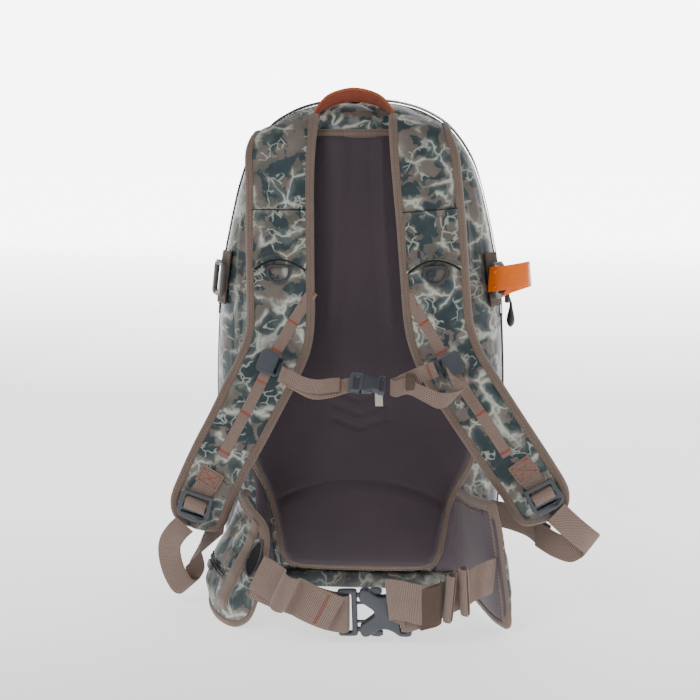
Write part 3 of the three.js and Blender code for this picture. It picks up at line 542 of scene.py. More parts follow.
def rubber(name, code, rough=0.55):
    """Matt rubbery coating with a fine grain."""
    f = Finish(name, Coat_Weight=0.1, Coat_Roughness=0.4)
    place = f.object_place()
    colour = f.mix(f.noise(place, 60, 3), srgb(code), scaled(srgb(code), 1.7))
    normal = f.bump(f.noise(place, 1400, 2), 0.2, 0.0002)
    return f.done(colour, f.span(f.noise(place, 80, 2), rough - 0.1, rough + 0.1), normal)


def urethane(name):
    """Glossy translucent orange urethane."""
    f = Finish(name, Transmission_Weight=0.2, IOR=1.4, Coat_Weight=0.25, Coat_Roughness=0.15,
               Subsurface_Weight=0.3, Subsurface_Scale=0.004)
    f.surface.inputs["Subsurface Radius"].default_value = (1.0, 0.35, 0.05)
    place = f.object_place()
    cloud = f.noise(place, 90, 3)
    colour = f.mix(cloud, srgb("ff6a00"), srgb("ff8c0a"))
    return f.done(colour, f.span(cloud, 0.16, 0.34), f.bump(cloud, 0.1, 0.001))


def plain_thread(name, code):
    """Twisted thread, matt and darker in its furrows as painted shade."""
    f = Finish(name, Sheen_Weight=0.3, Roughness=0.75)
    twist = f.noise(f.object_place(), 1600, 2)
    # The darker copy of the thread colour follows the twist: painted shade.
    return f.done(f.mix(twist, srgb(code), scaled(srgb(code), 0.5)), None, f.bump(twist, 0.4, 0.0003))


# The rear skin's camo and the wing camo carry pale streaks as painted reflections.
CAMO = camo("camo_coated_fabric", coat=0.2, painted_reflection=0.35)
CAMO_FRONT = camo("camo_front_fabric", shift=0.31)
# Camo darkened towards near black: painted shade.
CAMO_PAINTED_SHADE = camo("camo_painted_shade_fabric", shift=0.7, painted_shade=0.6)
CAMO_WING = camo("camo_wing_fabric", shift=0.57, painted_reflection=0.45)
CAMO_PAD = camo("camo_pad_fabric", coat=0.06, shift=0.19)
BROWN = webbing("brown_webbing", srgb("a08a7e"), srgb("57473f"), rib=1.3, period=2.1)
TRIM = webbing("brown_binding", srgb("917e71"), srgb("4e4038"), rib=1.0, period=1.5)
KEEPER = webbing("dark_elastic", srgb("6a5648"), srgb("3b2f28"), rib=0.7, period=1.2)
RUST = webbing("rust_webbing", srgb("b9603f"), srgb("84382a"), rib=1.0)
# A lighter copy of the rust webbing: painted highlight.
RUST_PAINTED_HIGHLIGHT = webbing("rust_painted_highlight", srgb("d98a4e"), srgb("a8552e"), rib=1.0)
# Near-black material for sheets set in gaps and openings: painted shade.
PAINTED_SHADE_SHEET = rubber("painted_shade_sheet", "0b0b0d", 0.9)
FOAM = foam("panel_foam", srgb("4a3e45"), srgb("322930"))
WING_FOAM = foam("wing_foam", srgb("5d5158"), srgb("433a41"))
MESH = mesh_cloth("knit_mesh", srgb("5a4f55"), srgb("262024"))
SLATE = plastic("slate_plastic", srgb("3f444b"))
GREY = plastic("warm_grey_plastic", srgb("5c5856"))
DARK = plastic("dark_plastic", srgb("2f2e33"), 0.45)
TAPE = rubber("zip_tape", "2a2b2e", 0.42)
LINING = rubber("grey_lining", "4b4d50", 0.6)
ORANGE = urethane("orange_urethane")
RED = plain_thread("red_thread", "b5482c")
THREAD = plain_thread("brown_thread", "6a5446")
PALE = plain_thread("pale_tag", "c9c4bb")


# ------------------------------------------------------------ camera, light and floor
LENS = 72.98
SURROUND_GLOW = 0.42
BACKDROP_GLOW = 7.0
FLOOR_REACH = 12000


def make_camera():
    """The camera at the photograph's height and angle, about 1.6 m from the bag."""
    camera = bpy.data.objects.new("camera", bpy.data.cameras.new("camera"))
    bpy.context.scene.collection.objects.link(camera)
    camera.data.sensor_width, camera.data.lens = 36, LENS
    camera.location = (0.1116, -1.5961, 0.515)
    ahead = Vector((-0.07648, 0.98408, -0.16040))
    camera.rotation_euler = ahead.to_track_quat("-Z", "Y").to_euler()
    bpy.context.scene.camera = camera


def make_light(name, place, aim, size, power):
    """A soft round lamp turned to face a point."""
    lamp = bpy.data.objects.new(name, bpy.data.lights.new(name, "AREA"))
    bpy.context.scene.collection.objects.link(lamp)
    lamp.data.shape, lamp.data.size, lamp.data.energy = "DISK", size, power
    lamp.location = place
    lamp.rotation_euler = (Vector(aim) - Vector(place)).to_track_quat("-Z", "Y").to_euler()


def make_studio():
    """A light tent: a bright backdrop behind a softer surround, three lamps and a pale glowing floor."""
    world = bpy.data.worlds.new("studio")
    bpy.context.scene.world = world
    world.use_nodes = True
    tree = world.node_tree
    background = tree.nodes["Background"]
    direction = tree.nodes.new("ShaderNodeTexCoord")
    parts = tree.nodes.new("ShaderNodeSeparateXYZ")
    tree.links.new(direction.outputs["Generated"], parts.inputs[0])

    def ramp(value, low, high, bottom=0.0, top=1.0, curve="SMOOTHSTEP"):
        made = tree.nodes.new("ShaderNodeMapRange")
        made.interpolation_type = curve
        for socket, number in (("From Min", low), ("From Max", high), ("To Min", bottom), ("To Max", top)):
            made.inputs[socket].default_value = number
        tree.links.new(value, made.inputs["Value"])
        return made.outputs["Result"]

    both = tree.nodes.new("ShaderNodeMath")
    both.operation = "MULTIPLY"
    tree.links.new(ramp(parts.outputs["Z"], 0.3, 0.09), both.inputs[0])
    tree.links.new(ramp(parts.outputs["Y"], 0.65, 0.93), both.inputs[1])
    glow = ramp(both.outputs[0], 0.0, 1.0, SURROUND_GLOW, BACKDROP_GLOW, "LINEAR")
    tree.links.new(glow, background.inputs["Strength"])
    background.inputs["Color"].default_value = (1.0, 1.0, 1.0, 1.0)
    make_light("key", (-1.3, -1.9, 2.2), (0, 0, 0.25), 1.1, 26)
    make_light("fill", (1.9, -1.0, 1.1), (0, 0, 0.25), 1.2, 9)
    make_light("rim", (0.6, 1.8, 1.7), (0, 0, 0.35), 1.4, 16)
    sheet = Shape()
    side = np.linspace(-FLOOR_REACH, FLOOR_REACH, 3)
    x, y = np.meshgrid(side, side, indexing="ij")
    sheet.grid(np.stack([x, y, x * 0], axis=-1))
    f = Finish("pale_floor", Roughness=0.9, Specular_IOR_Level=0.1, Emission_Color=(1.0, 1.0, 1.0, 1.0))
    cloud = f.noise(f.object_place(), 3, 2)
    # The floor's glow is painted light: weak in front of and under the bag, and stronger further back, so the
    # floor fades into a bright backdrop.
    depth = f.node("SeparateXYZ", {"Vector": f.object_place()}, output="Y")
    near = f.span(depth, 0.35, 1.6, -0.9, 0.2)
    far = f.span(depth, 0.0, 5.0, 1.0, 4.5)
    f.tree.links.new(f.math("ADD", near, far), f.surface.inputs["Emission Strength"])
    f.done(f.mix(cloud, srgb("f4f3f3"), srgb("fbfafa")), None, f.bump(cloud, 0.02, 0.001))
    floor = sheet.mesh("floor", [f.material], None)


make_camera()
make_studio()


# ------------------------------------------------------------ the bag's skin
def bag_row(s):
    """The profile's row at share s of the way up the bag."""
    return along(PROFILE, s)


S_TABLE = np.linspace(0, 1, 1600)
Z_TABLE = np.maximum.accumulate(bag_row(S_TABLE)[:, 0])


def share_at(z):
    """How far up the profile a height lies, from 0 to 1."""
    return np.interp(z, Z_TABLE, S_TABLE)


def zip_x(s, y=ZIP_Y):
    """Half width of the bag where a plane of constant y cuts it."""
    _, half, back, front, square = np.moveaxis(bag_row(s), -1, 0)
    depth, middle = (front - back) / 2, (front + back) / 2
    inside = np.clip(1 - np.abs((y - middle) / depth) ** square, 0, 1)
    return half * inside ** (1 / square)


def back_y(x, z, offset=0.0):
    """The bag's back face at x and z."""
    _, half, back, front, square = np.moveaxis(bag_row(share_at(z)), -1, 0)
    depth, middle = (front - back) / 2 + offset, (front + back) / 2
    inside = np.clip(1 - np.abs(x / (half + offset)) ** square, 0, 1)
    return middle - depth * inside ** (1 / square)


def front_y(x, z, offset=0.0):
    """The bag's front face at x and z."""
    _, _, back, front, _ = np.moveaxis(bag_row(share_at(z)), -1, 0)
    return (front + back) - back_y(x, z, offset)


def half_ring(s, y_edge, side, count):
    """Evenly spaced points round the bag on one side of the plane y = y_edge; side is -1 for the back."""
    z, half, back, front, square = bag_row(s)
    depth, middle = (front - back) / 2, (front + back) / 2
    edge_x = float(zip_x(np.array(s), y_edge))
    edge_angle = math.atan2(side * (y_edge - middle) / depth, edge_x / half)
    angle = np.linspace(edge_angle, math.pi - edge_angle, 260)
    c, q = np.cos(angle), np.sin(angle)
    reach = (np.abs(c) ** square + np.abs(q) ** square) ** (-1 / square)
    x, y = half * reach * c, middle + side * depth * reach * q
    run = np.concatenate([[0], np.cumsum(np.hypot(np.diff(x), np.diff(y)))])
    at = np.linspace(0, run[-1], count)
    places = np.stack([np.interp(at, run, x), np.interp(at, run, y), np.full(count, z)], axis=1)
    return places, at - run[-1] / 2


def skin_grid(s_values, y_edge, side, count):
    """Points of half the bag's surface, and their texture places round and up it."""
    rings = [half_ring(s, y_edge, side, count) for s in s_values]
    points = np.array([r[0] for r in rings])
    uv = np.array([np.stack([r[1], np.full(count, points[i, 0, 2])], axis=1) for i, r in enumerate(rings)])
    return points, uv


def grid_normals(points):
    """Normals of a grid, pointing away from the bag's middle."""
    du, dv = np.gradient(points, axis=0), np.gradient(points, axis=1)
    normal = unit(np.cross(du, dv))
    away = points - np.array([0, 0, 260])
    return normal * np.sign((normal * away).sum(axis=-1, keepdims=True))


def crumple(points, amount=1.0, seed=0.0):
    """Slack and puckers of coated fabric, strongest near the base and the top."""
    z = points[..., 2]
    loose = 0.5 + smooth(120, 20, z) + 0.9 * smooth(440, 500, z)
    stretched = points * [1.0, 1.0, 0.45]
    height = 1.7 * ripple(stretched, 62, seed) + 0.9 * ripple(points, 27, seed + 5) * loose
    creases = -1.4 * (1 - np.abs(ripple(points * [1, 1, 0.6], 48, seed + 9))) ** 8 * loose
    return amount * (height + creases)


def make_skin(name, side, top_share, steps, columns, body, cad, finish, seed):
    """One half of the bag's fabric, doubled inwards to its lining."""
    y_edge = ZIP_Y + side * (ZIP_HALF_GAP + 0.2)
    s = np.linspace(share_at(1.2), top_share, steps)
    points, uv = skin_grid(s, y_edge, side, columns)
    normal = grid_normals(points)
    pinned = np.minimum(np.arange(columns), np.arange(columns)[::-1])[None] / columns
    held = smooth(0, 0.08, pinned) * smooth(0, 20, points[..., 2])
    out = points + normal * (crumple(points, 1.0, seed) * held - 0.6)[..., None]
    last = out[-1]
    straight = np.linspace(last[0, 0], last[-1, 0], columns)
    line = np.stack([straight, np.full(columns, y_edge), last[:, 2] + 0.5], axis=1)
    cap = np.array([last * (1 - f) + line * f for f in (0.35, 0.7, 1.0)])
    outer = np.concatenate([out, cap])
    uv = np.concatenate([uv] + [uv[-1:] + np.array([0, step]) for step in (4, 8, 12)])
    inner = outer - np.concatenate([normal, np.repeat(normal[-1:], 3, axis=0)]) * 2.0
    shape = Shape()
    shape.grid(outer, uv)
    shape.grid(inner, uv, finish=1)
    shape.close(outer, inner, (), finish=1)
    base = outer[0]
    middle = np.stack([base[:, 0] * 0.5, base[:, 1] * 0.5 + y_edge * 0.5, np.full(columns, 0.4)], axis=1)
    rim = np.stack([base[:, 0] * 0.985, base[:, 1] * 0.985, np.full(columns, 0.4)], axis=1)
    seam = np.stack([base[:, 0], np.full(columns, y_edge), np.full(columns, 0.4)], axis=1)
    shape.grid(np.array([base, rim, middle, seam]), finish=2)
    return shape.mesh(name, [finish, LINING, TAPE], body, cad)


def make_bag():
    """The fabric's two halves; the rear one rides on the pack, and the front one, by the flap above the
    pocket, rides on no body.
    """
    top = share_at(534.6)
    make_skin("rear_skin", -1, top, 120, 150, "pack", ("rear_shell", "base_boot", "top_yoke"), CAMO, 1.0)
    front = make_skin("front_skin", 1, top, 120, 130, None, (), CAMO_FRONT, 7.0)
    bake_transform(front)
    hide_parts("front_shell", "front_flap")


make_bag()


# ------------------------------------------------------------ the main zip
def zip_path(low, count=240):
    """Points over the top of the bag in the zip's plane, the directions out of the skin, and the run."""
    s = np.linspace(share_at(low), share_at(534.8), 220)
    x, z = zip_x(s), bag_row(s)[:, 0]
    side = np.stack([x, z], axis=1)
    over = np.concatenate([side * [-1, 1], side[::-1]])
    run = np.concatenate([[0], np.cumsum(np.hypot(*np.diff(over, axis=0).T))])
    at = np.linspace(0, run[-1], count)
    path = np.stack([np.interp(at, run, over[:, 0]), np.interp(at, run, over[:, 1])], axis=1)
    ahead = unit(np.gradient(path, axis=0))
    out = np.stack([-ahead[:, 1], ahead[:, 0]], axis=1)
    return path, out, at


def make_zip():
    """The zip's two tapes, each with its own teeth and a line of stitches."""
    for side, body, node, low in ((-1, "pack", "zip_tape_rear", 299), (1, "flap", "zip_tape_front", 302)):
        path, out, run = zip_path(low)
        section = [(1.2, 0.6), (1.6, 1.9), (2.6, 2.3), (4.2, 1.9), (8.5, 1.7), (10.6, 1.0), (10.6, 0.1),
                   (1.2, 0.1)]
        rings = []
        for p, o in zip(path, out):
            rise = 0.35 + 0.95 * float(smooth(420, 490, p[1]))
            ring = [(p[0] + o[0] * h * rise, ZIP_Y + side * w, p[1] + o[1] * h * rise) for w, h in section]
            rings.append(ring)
        points = np.array(rings)
        uv = section_uv(run, section)
        shape = Shape()
        shape.grid(points, uv, wrap=True, caps=True)
        x, z = (path + out).T
        teeth, ahead = resample(np.stack([x, np.full(len(x), ZIP_Y), z], axis=1), TOOTH_PITCH)
        across = np.array([0, 1.0, 0])
        shift = side * TOOTH_PITCH / 4
        for place, direction in zip(teeth, ahead):
            up = unit(np.cross(direction, across))
            corners = []
            for along_by in (-0.55, 0.55):
                ring = [(-0.9, -0.9), (1.6, -0.9), (1.6, 0.3), (-0.9, 0.3)]
                middle = place + direction * (along_by + shift)
                corners.append([middle + across * w * side + up * h for w, h in ring])
            shape.grid(np.array(corners), wrap=True, caps=True, finish=1)
        line = np.stack([x, np.full(len(x), ZIP_Y + side * 8.6), z], axis=1)
        stitch(shape, line, 3.2, 2.2, 0.3, finish=2)
        shape.mesh(node.replace("zip_tape", "main_zip"), [TAPE, DARK, THREAD], body, (node,))


def make_seam():
    """The taped seam that joins the two halves below the zip and under the bag."""
    s = np.linspace(share_at(300.5), share_at(1.2), 120)
    x, z = zip_x(s), bag_row(s)[:, 0]
    x[-1], z[-1] = x[-1] * 0.985, 0.9
    x, z = np.concatenate([x, -x[::-1]]), np.concatenate([z, z[::-1]])
    path = np.stack([x, z], axis=1)
    ahead = unit(np.gradient(path, axis=0))
    out = np.stack([ahead[:, 1], -ahead[:, 0]], axis=1)
    out *= np.sign((out * (path - [0, 150])).sum(axis=1))[:, None]
    section = [(-7.5, -0.3), (-7.0, 0.3), (-2.2, 0.6), (0, 0.9), (2.2, 0.6), (7.0, 0.3), (7.5, -0.3),
               (0, -1.2)]
    rings = []
    for p, o in zip(path, out):
        rings.append([(p[0] + o[0] * h, ZIP_Y + w, max(p[1] + o[1] * h, 0.05)) for w, h in section])
    run = np.concatenate([[0], np.cumsum(np.hypot(*np.diff(path, axis=0).T))])
    uv = section_uv(run, section)
    shape = Shape()
    shape.grid(np.array(rings), uv, wrap=True, caps=True)
    shape.mesh("side_seam", [KEEPER], "pack")


make_zip()
make_seam()


# ------------------------------------------------------------ back panel
PANEL_LOW, PANEL_TOP = 28, 499
PANEL_CORNERS = np.array([
    [-62, 497], [0, PANEL_TOP], [62, 497], [76, 480], [90, 400], [104, 300], [118, 210], [122, 165],
    [116, 140], [97, 104], [88, 62], [83, 40], [68, 30], [0, PANEL_LOW], [-68, 30], [-83, 40],
    [-88, 62], [-97, 104], [-116, 140], [-122, 165], [-118, 210], [-104, 300], [-90, 400], [-76, 480],
]) + [PANEL_X, 0]


def panel_outline(count=400):
    """The back panel's edge as a smooth closed line in x and z."""
    return np.array(soft_loop(PANEL_CORNERS, count))


def panel_sides():
    """The panel's left and right edges as functions of z."""
    loop = panel_outline()
    top, low = int(loop[:, 1].argmax()), int(loop[:, 1].argmin())
    rolled = np.roll(loop, -top, axis=0)
    cut = (low - top) % len(loop)
    right, left = rolled[:cut + 1][::-1], np.concatenate([rolled[cut:], rolled[:1]])
    order = [np.argsort(edge[:, 1]) for edge in (left, right)]
    return left[order[0]], right[order[1]]


def chevron(x, z, tip, spread, depth):
    """A soft groove in the shape of a shallow V."""
    line = tip + 0.38 * np.abs(x)
    return depth * np.exp(-((z - line) / 2.2) ** 2) * smooth(spread, spread - 5, np.abs(x))


def panel_relief(x, z):
    """Height of the moulded foam above its flat face."""
    x = x - PANEL_X
    low = np.clip((497 - z) / 210, 0, 1)
    channel_half = 17 + 14 * low ** 1.6
    fade_low = smooth(262, 330, z)
    channel = -4.6 * fade_low * (1 - smooth(channel_half - 9, channel_half + 7, np.abs(x)))
    ridge = 0.9 * fade_low * np.exp(-((np.abs(x) - channel_half - 4) / 4.0) ** 2)
    dip = -2.4 * np.exp(-(((z - 262) / 60) ** 2 + (x / 38) ** 2))
    arch_z = 124 - 17 * (x / 78) ** 2
    pillow = 2.6 * smooth(arch_z + 2, arch_z - 9, z) * smooth(20, 45, z)
    crease = -2.2 * np.exp(-((z - arch_z - 2) / 2.6) ** 2) * smooth(100, 70, np.abs(x))
    ribs = sum(chevron(x, z, 214 - 15 * k, 33, -1.9) for k in range(3))
    swell = 1.2 * np.cos(x / 70) + 0.8 * smooth(480, 300, z)
    return channel + ridge + dip + pillow + crease + ribs + swell


def make_panel():
    """The moulded foam panel on the wearer's side, with its bound and stitched edge."""
    left, right = panel_sides()
    rows, columns = 300, 120
    share = np.linspace(0, 1, rows)
    share = share * 0.72 + 0.28 * (0.5 - 0.5 * np.cos(np.pi * share))
    z = PANEL_LOW + 0.2 + (PANEL_TOP - 0.4 - PANEL_LOW - 0.2) * share
    x0, x1 = np.interp(z, left[:, 1], left[:, 0]), np.interp(z, right[:, 1], right[:, 0])
    f = 0.5 - 0.5 * np.cos(np.pi * np.linspace(0, 1, columns))
    f = 0.6 * f + 0.4 * np.linspace(0, 1, columns)
    x = x0[:, None] + (x1 - x0)[:, None] * f
    zz = np.tile(z[:, None], (1, columns))
    edge = np.minimum(np.minimum(x - x0[:, None], x1[:, None] - x),
                      np.minimum(zz - PANEL_LOW, PANEL_TOP - zz))
    rise = np.sqrt(np.clip(1 - (1 - np.clip(edge / 9, 0, 1)) ** 2, 0, 1))
    lumps = ripple(np.stack([x, zz * 0, zz], axis=-1), 30)
    height = 1.2 + (6.6 + panel_relief(x, zz)) * rise + 0.25 * lumps
    y = back_y(x, zz) - height
    shape = Shape()
    shape.grid(np.stack([x, y, zz], axis=-1), np.stack([x, zz], axis=-1))
    piece = shape.mesh("back_panel_foam", [FOAM], "pack", ("back_panel",))
    loop = panel_outline(360)
    ahead = unit(np.roll(loop, -1, axis=0) - np.roll(loop, 1, axis=0))
    out = np.stack([-ahead[:, 1], ahead[:, 0]], axis=1)
    section = [(-3.2, 4.0), (-2.2, 5.2), (0.5, 5.4), (3.5, 4.6), (5.4, 2.8), (5.8, 0.6), (-3.0, 0.4)]
    rings = []
    for (px, pz), (ox, oz) in zip(loop, out):
        ring = []
        for w, h in section:
            qx, qz = px + ox * w, pz + oz * w
            ring.append((qx, float(back_y(np.array(qx), np.array(qz))) - h, qz))
        rings.append(ring)
    points = np.array(rings + rings[:1])
    run = np.linspace(0, 1240, len(points))
    uv = section_uv(run, section)
    trim = Shape()
    trim.grid(points, uv, wrap=True)
    for w, h in ((-1.6, 5.5), (3.6, 4.75)):
        line = np.stack([loop[:, 0] + out[:, 0] * w, loop[:, 0] * 0, loop[:, 1] + out[:, 1] * w], axis=1)
        line[:, 1] = back_y(line[:, 0], line[:, 2]) - h
        stitch(trim, np.concatenate([line, line[:1]]), 3.8, 2.6, 0.38, finish=1)
    trim.mesh("panel_trim", [TRIM, THREAD], "pack", ("panel_binding",))


make_panel()


# ------------------------------------------------------------ shoulder pads
def stations(rows):
    """Stations whose direction across is given as a width and a direction in x and z."""
    return [(x, y, z, width * ax, 0, width * az) for x, y, z, width, ax, az in rows]


PADS = {
    "left": Strip(stations([
        (-74, -75, 508, 66, 0.96, 0.28), (-76, -92, 500, 69, 0.965, 0.262),
        (-77.5, -106, 482, 68, 0.99, 0.14), (-77.5, -113, 450, 65, 1, 0.02), (-77.2, -117, 405, 65, 1, 0),
        (-76.8, -120, 355, 65, 1, 0), (-76, -124, 310, 65, 0.999, -0.05), (-79, -129, 282, 64, 0.97, -0.24),
        (-90, -136, 254, 62, 0.91, -0.41), (-106, -143, 222, 61, 0.885, -0.465),
        (-121, -149, 192, 60, 0.885, -0.465), (-136, -154, 164, 59, 0.885, -0.465),
        (-149, -158, 137, 58, 0.9, -0.436), (-159, -160, 112, 58, 0.93, -0.37),
        (-164, -160, 88, 54, 0.96, -0.28),
    ])),
    "right": Strip(stations([
        (66.5, -75, 512, 58, 0.985, -0.17), (69, -92, 503, 61, 0.985, -0.17),
        (73.5, -106, 482, 65, 0.997, -0.07), (77, -113, 450, 65, 0.998, 0.06),
        (81.5, -117, 405, 65, 0.996, 0.09), (85.5, -120, 355, 65, 0.996, 0.09),
        (89.5, -124, 310, 65, 0.985, 0.17), (96, -129, 283, 64, 0.95, 0.31),
        (109, -136, 256, 63, 0.88, 0.475), (129, -143, 226, 62, 0.84, 0.543),
        (149, -149, 197, 61, 0.83, 0.558), (168, -154, 170, 60, 0.83, 0.558),
        (184, -158, 147, 59, 0.83, 0.558), (197, -160, 126, 58, 0.86, 0.51), (205, -160, 104, 54, 0.92, 0.39),
    ])),
}
PAD_TOP = PAD_T / 2
PAD_REACH = 3.4
ROUND_FROM = 0.925


def pad_half(strip, t):
    """Half width of a pad with its binding, rounding in at the lower end."""
    half = strip.frame(t)[4] + PAD_REACH
    end = np.clip((np.asarray(t) - ROUND_FROM) / (1 - ROUND_FROM), 0, 1)
    return half * np.clip(1 - end ** 2.5, 0, 1) ** (1 / 2.5)


def pad_shares(count):
    """Shares along a pad, closer together round its lower end."""
    straight = np.linspace(0, ROUND_FROM, count)
    bend = ROUND_FROM + (1 - ROUND_FROM) * np.sin(np.linspace(0, np.pi / 2, count // 4))
    return np.concatenate([straight, bend[1:]])


def pad_height(strip, t, w):
    """Height of a pad's outer face above its middle: a crown that thins at the edges."""
    half = np.maximum(pad_half(strip, t), 1e-3)
    inside = np.clip(half - np.abs(w), 0, None)
    return 2.6 + 3.2 * smooth(0, 17, inside)


def make_pad(side):
    """A padded shoulder strap: camo over foam, with knit mesh on the wearer's side."""
    strip = PADS[side]
    t = pad_shares(150)
    across = np.sin(np.linspace(-np.pi / 2, np.pi / 2, 30))
    half = pad_half(strip, t) - 1.0
    w = np.maximum(half, 0.1)[:, None] * across
    tt = np.tile(t[:, None], (1, 30))
    face = pad_height(strip, tt, w)
    places = strip.at(tt, w, face)
    face = face + 0.5 * ripple(places, 34, 3) + 0.25 * ripple(places, 13, 8)
    outer = strip.at(tt, w, face)
    inner = strip.at(tt, w, -pad_height(strip, tt, w) * 0.95 + 0.4)
    run = t * strip.length()
    uv = np.stack([np.tile(run[:, None], (1, 30)), w], axis=-1)
    shape = Shape()
    shape.grid(outer, uv)
    shape.grid(inner, uv, finish=1)
    shape.close(outer, inner, (0,), finish=1)
    piece = shape.mesh("pad_" + side, [CAMO_PAD, MESH], "harness", ("shoulder_pad_" + side,))


def pad_edge(strip):
    """Points down one side of a pad, round its end and up the other, with directions out of its edge."""
    t = pad_shares(170)
    shares = np.concatenate([t, t[::-1][1:]])
    sign = np.concatenate([-np.ones(len(t)), np.ones(len(t) - 1)])
    path = strip.at(shares, sign * pad_half(strip, shares), 0 * shares)
    normal = strip.frame(shares)[3]
    out = unit(np.cross(unit(np.gradient(path, axis=0)), normal))
    return path, out, normal


def make_pad_binding(side):
    """The webbing folded round a pad's edge, with two lines of stitches."""
    strip = PADS[side]
    path, out, normal = pad_edge(strip)
    keep = np.concatenate([[True], np.linalg.norm(np.diff(path, axis=0), axis=1) > 0.6])
    path, out, normal = path[keep], out[keep], normal[keep]
    b = BINDING
    section = [(-b, 5.0), (-b + 1, 5.7), (-b * 0.5, 5.3), (-1.8, 4.4), (-0.2, 2.6), (0.3, 0), (-0.2, -2.6),
               (-1.8, -4.2), (-b * 0.5, -4.9), (-b, -5.0), (-b, -4.0), (-2.0, -3.0), (-2.0, 3.0), (-b, 4.0)]
    rings = np.array([[p + o * w + n * h for w, h in section] for p, o, n in zip(path, out, normal)])
    run = run_of(path)
    uv = section_uv(run, section)
    shape = Shape()
    shape.grid(rings, uv, wrap=True, caps=True)
    for inset, height in ((b - 1.7, 5.55), (b * 0.45, 5.25)):
        stitch(shape, path - out * inset + normal * height, 3.8, 2.6, 0.4, finish=1)
    shape.mesh("pad_trim_" + side, [TRIM, THREAD], "harness", ("pad_binding_" + side,))


def share_near(strip, z):
    """The share along a strip at a height z."""
    t = np.linspace(0, 1, 801)
    return float(t[np.abs(strip.frame(t)[0][:, 2] - z).argmin()])


def make_overlay(side):
    """The panel over the chest, loose at its curved hem."""
    strip = PADS[side]
    start, hem = share_near(strip, 423), share_near(strip, 360)
    rows, columns = 34, 28
    f = np.linspace(0, 1, rows)[:, None]
    c = np.linspace(-1, 1, columns)[None]
    half = pad_half(strip, start) - BINDING + 1.4
    t = start + (hem - start - 0.017 * (1 - c ** 2) * f ** 3) * f
    w = c * half + 0 * f
    rise = 0.9 + 4.6 * f ** 5 * (1 - 0.85 * c ** 4) + 0.5 * np.sin(np.pi * f) * (1 - c ** 2)
    height = pad_height(strip, t, w) + rise
    places = strip.at(t, w, height)
    height = height + 0.35 * ripple(places, 22, 4) * np.sin(np.pi * f * 0.8)
    uv = np.stack([t * strip.length(), w], axis=-1)
    outer, inner = strip.at(t, w, height), strip.at(t, w, height - 0.9)
    shape = Shape()
    shape.grid(outer, uv)
    shape.grid(inner, uv, finish=1)
    rim = np.concatenate([outer[0], outer[1:, -1], outer[-1, -2::-1], outer[-2:0:-1, 0]])
    under = np.concatenate([inner[0], inner[1:, -1], inner[-1, -2::-1], inner[-2:0:-1, 0]])
    shape.grid(np.stack([rim, under], axis=0), finish=1, wrap=True)
    piece = shape.mesh("overlay_" + side, [CAMO_PAD, TAPE], "harness", ("strap_pocket_" + side,))
    trim = Shape()
    tube(trim, strip.at(t[0] + 0.002, w[0], height[0] + 0.35), 0.55, finish=2)
    tube(trim, strip.at(t[-1], w[-1], height[-1] - 0.3), 0.75)
    stitch(trim, strip.at(t[0] + 0.012, w[0] * 0.97, height[0] + 0.35), 3.4, 2.4, 0.3, finish=1)
    stitch(trim, strip.at(t[-1] - 0.012, w[-1] * 0.97, height[-1] + 0.15), 3.4, 2.4, 0.3, finish=1)
    # A near-black sheet under the loose hem: painted shade in the gap.
    mouth = strip.at(t[-2:], 0.94 * w[-2:], (height[-1:] - 1.2) * np.array([[1.0], [1.0]]))
    floor_line = strip.at(t[-1] + 0.004, 0.94 * w[-1], pad_height(strip, t[-1], w[-1]) + 0.3)
    trim.grid(np.stack([mouth[0], mouth[1], floor_line], axis=0), finish=2)
    trim.mesh("overlay_hem_" + side, [CAMO_PAD, THREAD, PAINTED_SHADE_SHEET], "harness")


DAISY = {
    "left": [(-42, 338), (-49, 326), (-63, 303), (-82, 268), (-100, 232), (-117, 199), (-135, 165)],
    "right": [(56, 338), (62, 326), (76, 304), (98, 268), (121, 234), (143, 203), (164, 171)],
}
PATCH = {"left": [(-143, 151), (-152, 135)], "right": [(174, 166), (187, 150)]}


def lay_on_pad(strip, places, width, steps, lift, thick):
    """A ribbon flat on a pad's face, through places in x and z; lift gives its height along the way."""
    rows = np.array([(x, 0, z) for x, z in places], float)
    f = np.linspace(0, 1, steps)
    path = along(rows, f)
    tangent = unit(np.gradient(path, axis=0))
    side = np.stack([-tangent[:, 2], tangent[:, 0] * 0, tangent[:, 0]], axis=1)
    w, h = oval(width / 2, thick, count=12, square=5)
    rings, uv = [], []
    run = run_of(path)
    for i in range(steps):
        low, high = (strip.locate(*(path[i] + side[i] * k * width / 2)[[0, 2]]) for k in (-1, 1))
        share = (w / width + 0.5)
        t = low[0] + (high[0] - low[0]) * share
        off = low[1] + (high[1] - low[1]) * share
        rings.append(strip.at(t, off, pad_height(strip, t, off) + lift(f[i]) + h))
        uv.append(np.stack([np.full(len(w), run[i]), w], axis=1))
    return np.array(rings), np.array(uv), run[-1]


def make_daisy(side):
    """The ladder webbing, tacked to the pad by red bartacks that leave loops between them."""
    strip = PADS[side]
    tacks = np.array([0.03, 0.19, 0.33, 0.47, 0.62, 0.77, 0.97])

    def lift(f):
        return 0.4 + 0.3 * min(1.0, float(np.abs(tacks - f).min()) / 0.05)

    points, uv, _ = lay_on_pad(strip, DAISY[side], 12, 90, lift, 1.2)
    shape = Shape()
    shape.grid(points, uv, wrap=True, caps=True)
    for tack in tacks:
        row = int(round(tack * 89))
        ring = points[row]
        top = ring[np.argsort((ring * strip.frame(0.5)[3]).sum(axis=1))[-6:]]
        order = np.argsort(top[:, 0])
        line = top[order][[0, -1]]
        normal = strip.frame(0.5)[3]
        ahead = unit(points[min(row + 1, 89)].mean(axis=0) - points[max(row - 1, 0)].mean(axis=0))
        for k in (-1.0, 0.0, 1.0):
            lifted = line + normal * 0.1 + ahead * k
            stitch(shape, lifted, 1.5, 1.7, 0.5, finish=1)
    shape.mesh("ladder_" + side, [BROWN, RED], "harness", ("ladder_webbing_" + side,))


